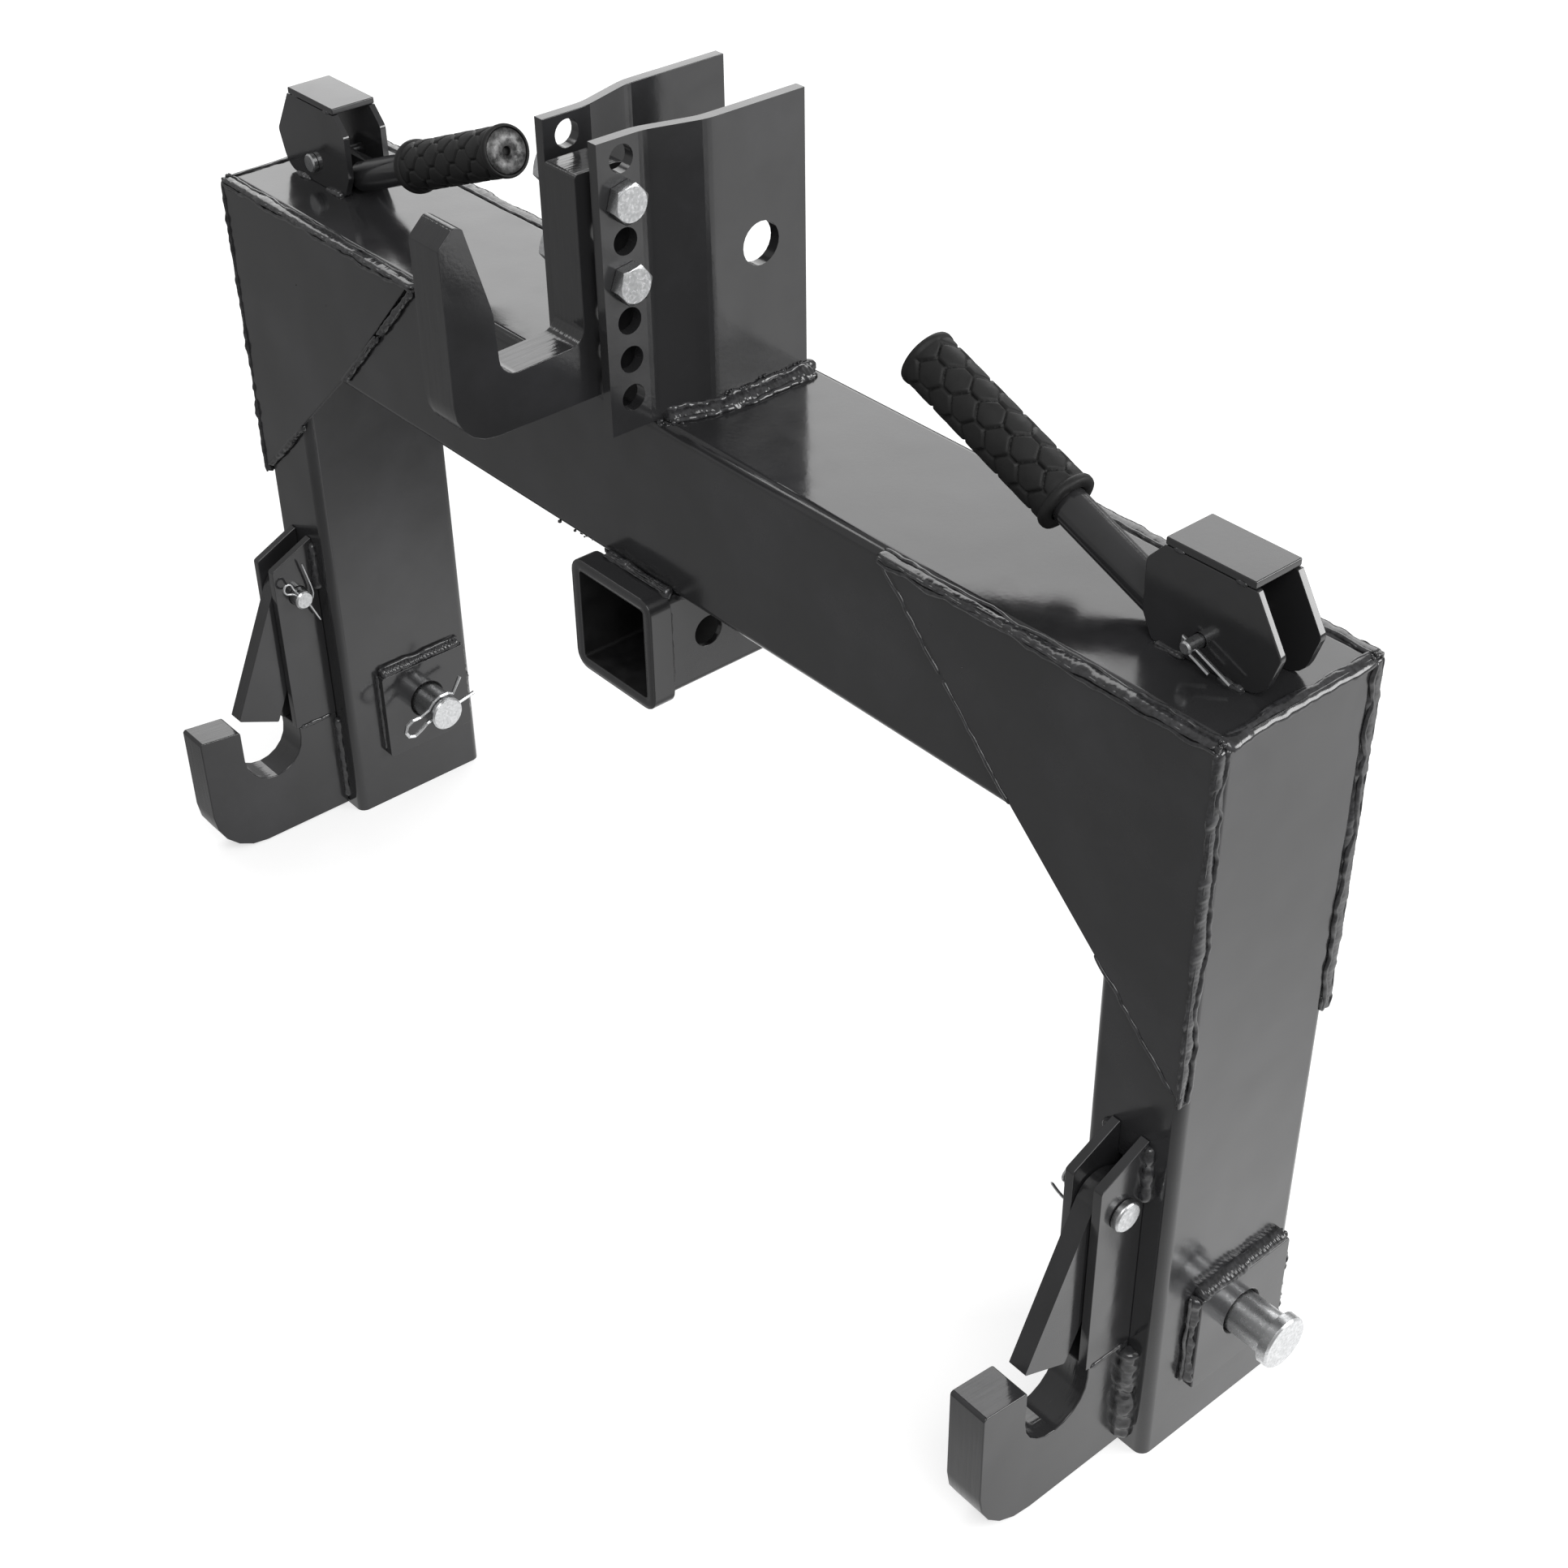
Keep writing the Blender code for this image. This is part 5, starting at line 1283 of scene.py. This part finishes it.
class HITCH_OT_set_stage(HitchStep, bpy.types.Operator):
    """Set the floor, the lights and the camera"""

    bl_idname = "hitch.set_stage"
    bl_label = "Set stage"

    def work(self, context):
        stage = context.scene.hitch_stage
        self.lay_floor(stage)
        self.light_world()
        power = stage.softbox_power
        self.hang_lamp("back_softbox", (-1.55, 1.66, 1.60), (0.0, 0.05, 0.40), (2.6, 1.7), power)
        for lamp in LAMPS:
            self.hang_lamp(*lamp)
        self.place_camera(context, stage)
        context.scene.view_settings.view_transform = "Standard"

    def lay_floor(self, stage):
        shape = bmesh.new()
        bmesh.ops.create_grid(shape, x_segments=1, y_segments=1, size=FLOOR_HALF)
        mesh = bpy.data.meshes.new("studio_floor")
        shape.to_mesh(mesh)
        shape.free()
        floor = bpy.data.objects.new("studio_floor", mesh)
        bpy.context.scene.collection.objects.link(floor)
        # Matt pale studio floor, lifted to white where the camera looks at it. A reflection sees it
        # dim in front of the hitch and brighter where the light pools beside the legs.
        material = bpy.data.materials.new("matt_studio_floor")
        material.use_nodes = True
        tree = material.node_tree
        tree.nodes.clear()
        path = add_node(tree, "ShaderNodeLightPath").outputs
        white = (1, 1, 1, 1)
        matt = add_node(tree, "ShaderNodeBsdfDiffuse", {"Color": srgb_to_linear(stage.floor_colour)})
        shares = {0: path["Is Camera Ray"], 1: stage.floor_glow}
        lift = add_node(tree, "ShaderNodeMath", shares, operation="MULTIPLY")
        glow = add_node(tree, "ShaderNodeEmission", {"Color": white, "Strength": lift.outputs[0]})
        seen = add_node(tree, "ShaderNodeAddShader", {0: matt.outputs[0], 1: glow.outputs[0]})
        place = add_node(tree, "ShaderNodeTexCoord").outputs["Object"]
        total = stage.floor_mirror
        for x, y, reach, strength in FLOOR_POOLS:
            away = add_node(tree, "ShaderNodeVectorMath", {0: place, 1: (x, y, 0.0)}, operation="DISTANCE")
            pool = ramp(
                tree, away.outputs["Value"], strength, 0.0, 0.0, reach, interpolation_type="SMOOTHSTEP"
            )
            total = add_node(tree, "ShaderNodeMath", {0: total, 1: pool}, operation="ADD").outputs[0]
        mirrored = add_node(tree, "ShaderNodeEmission", {"Color": white, "Strength": total})
        choice = {0: path["Is Glossy Ray"], 1: seen.outputs[0], 2: mirrored.outputs[0]}
        both = add_node(tree, "ShaderNodeMixShader", choice)
        add_node(tree, "ShaderNodeOutputMaterial", {"Surface": both.outputs[0]})
        mesh.materials.append(material)

    def light_world(self):
        world = bpy.data.worlds.new("studio_air")
        bpy.context.scene.world = world
        world.use_nodes = True
        tree = world.node_tree
        tree.nodes.clear()
        seen = add_node(tree, "ShaderNodeLightPath").outputs["Is Camera Ray"]
        strength = ramp(tree, seen, WORLD_IN_REFLECTIONS, 1.0, 0.0, 1.0)
        air = add_node(tree, "ShaderNodeBackground", {"Color": (1, 1, 1, 1), "Strength": strength})
        add_node(tree, "ShaderNodeOutputWorld", {"Surface": air.outputs[0]})

    def hang_lamp(self, name, place, target, size, power):
        light = bpy.data.lights.new(name, "AREA")
        light.shape = "RECTANGLE"
        light.size, light.size_y = size
        light.energy = power
        lamp = bpy.data.objects.new(name, light)
        bpy.context.scene.collection.objects.link(lamp)
        lamp.location = place
        aim = Vector(target) - Vector(place)
        lamp.rotation_euler = aim.to_track_quat("-Z", "Y").to_euler()
        lamp.visible_camera = False

    def place_camera(self, context, stage):
        level = math.cos(CAMERA_ELEVATION)
        forward = Vector(
            (-math.sin(CAMERA_AZIMUTH) * level, math.cos(CAMERA_AZIMUTH) * level, -math.sin(CAMERA_ELEVATION))
        )
        right = forward.cross(Vector(ALONG_Z)).normalized()
        above = right.cross(forward)
        turned_right = math.cos(CAMERA_ROLL) * right + math.sin(CAMERA_ROLL) * above
        turned_above = -math.sin(CAMERA_ROLL) * right + math.cos(CAMERA_ROLL) * above
        data = bpy.data.cameras.new("photo_camera")
        data.sensor_width = 36
        data.lens = stage.lens
        camera = bpy.data.objects.new("photo_camera", data)
        context.scene.collection.objects.link(camera)
        axes = Matrix((turned_right, turned_above, -forward)).transposed().to_4x4()
        camera.matrix_world = Matrix.Translation(CAMERA_PLACE) @ axes
        context.scene.camera = camera


OPERATORS = (
    HITCH_OT_coat_frame,
    HITCH_OT_coat_mast,
    HITCH_OT_coat_receiver,
    HITCH_OT_coat_lower_hooks,
    HITCH_OT_coat_housings,
    HITCH_OT_coat_levers,
    HITCH_OT_weld_frame,
    HITCH_OT_weld_mast,
    HITCH_OT_weld_receiver,
    HITCH_OT_weld_hooks,
    HITCH_OT_weld_housings,
    HITCH_OT_turn_bolts,
    HITCH_OT_bend_cotters,
    HITCH_OT_plate_pins,
    HITCH_OT_mould_grips,
    HITCH_OT_finish_lever_ends,
    HITCH_OT_finish_springs,
    HITCH_OT_set_stage,
)
SETTINGS = (
    ("hitch_coat", CoatSettings),
    ("hitch_weld", WeldSettings),
    ("hitch_zinc", ZincSettings),
    ("hitch_grip", GripSettings),
    ("hitch_stage", StageSettings),
)


class HITCH_PT_sidebar(bpy.types.Panel):
    """Settings and steps of the quick hitch"""

    bl_idname = "HITCH_PT_sidebar"
    bl_label = "Quick Hitch"
    bl_space_type = "VIEW_3D"
    bl_region_type = "UI"
    bl_category = "Quick Hitch"

    def draw(self, context):
        for holder, group in SETTINGS:
            box = self.layout.box()
            settings = getattr(context.scene, holder)
            for key in group.__annotations__:
                box.prop(settings, key)
        column = self.layout.column(align=True)
        for operator in OPERATORS:
            column.operator(operator.bl_idname)


def register():
    for holder, group in SETTINGS:
        bpy.utils.register_class(group)
        setattr(bpy.types.Scene, holder, bpy.props.PointerProperty(type=group))
    for operator in OPERATORS:
        bpy.utils.register_class(operator)
    bpy.utils.register_class(HITCH_PT_sidebar)


def unregister():
    bpy.utils.unregister_class(HITCH_PT_sidebar)
    for operator in reversed(OPERATORS):
        bpy.utils.unregister_class(operator)
    for holder, group in reversed(SETTINGS):
        delattr(bpy.types.Scene, holder)
        bpy.utils.unregister_class(group)


def main():
    register()
    for operator in OPERATORS:
        group, name = operator.bl_idname.split(".")
        getattr(getattr(bpy.ops, group), name)()


if __name__ == "__main__":
    main()
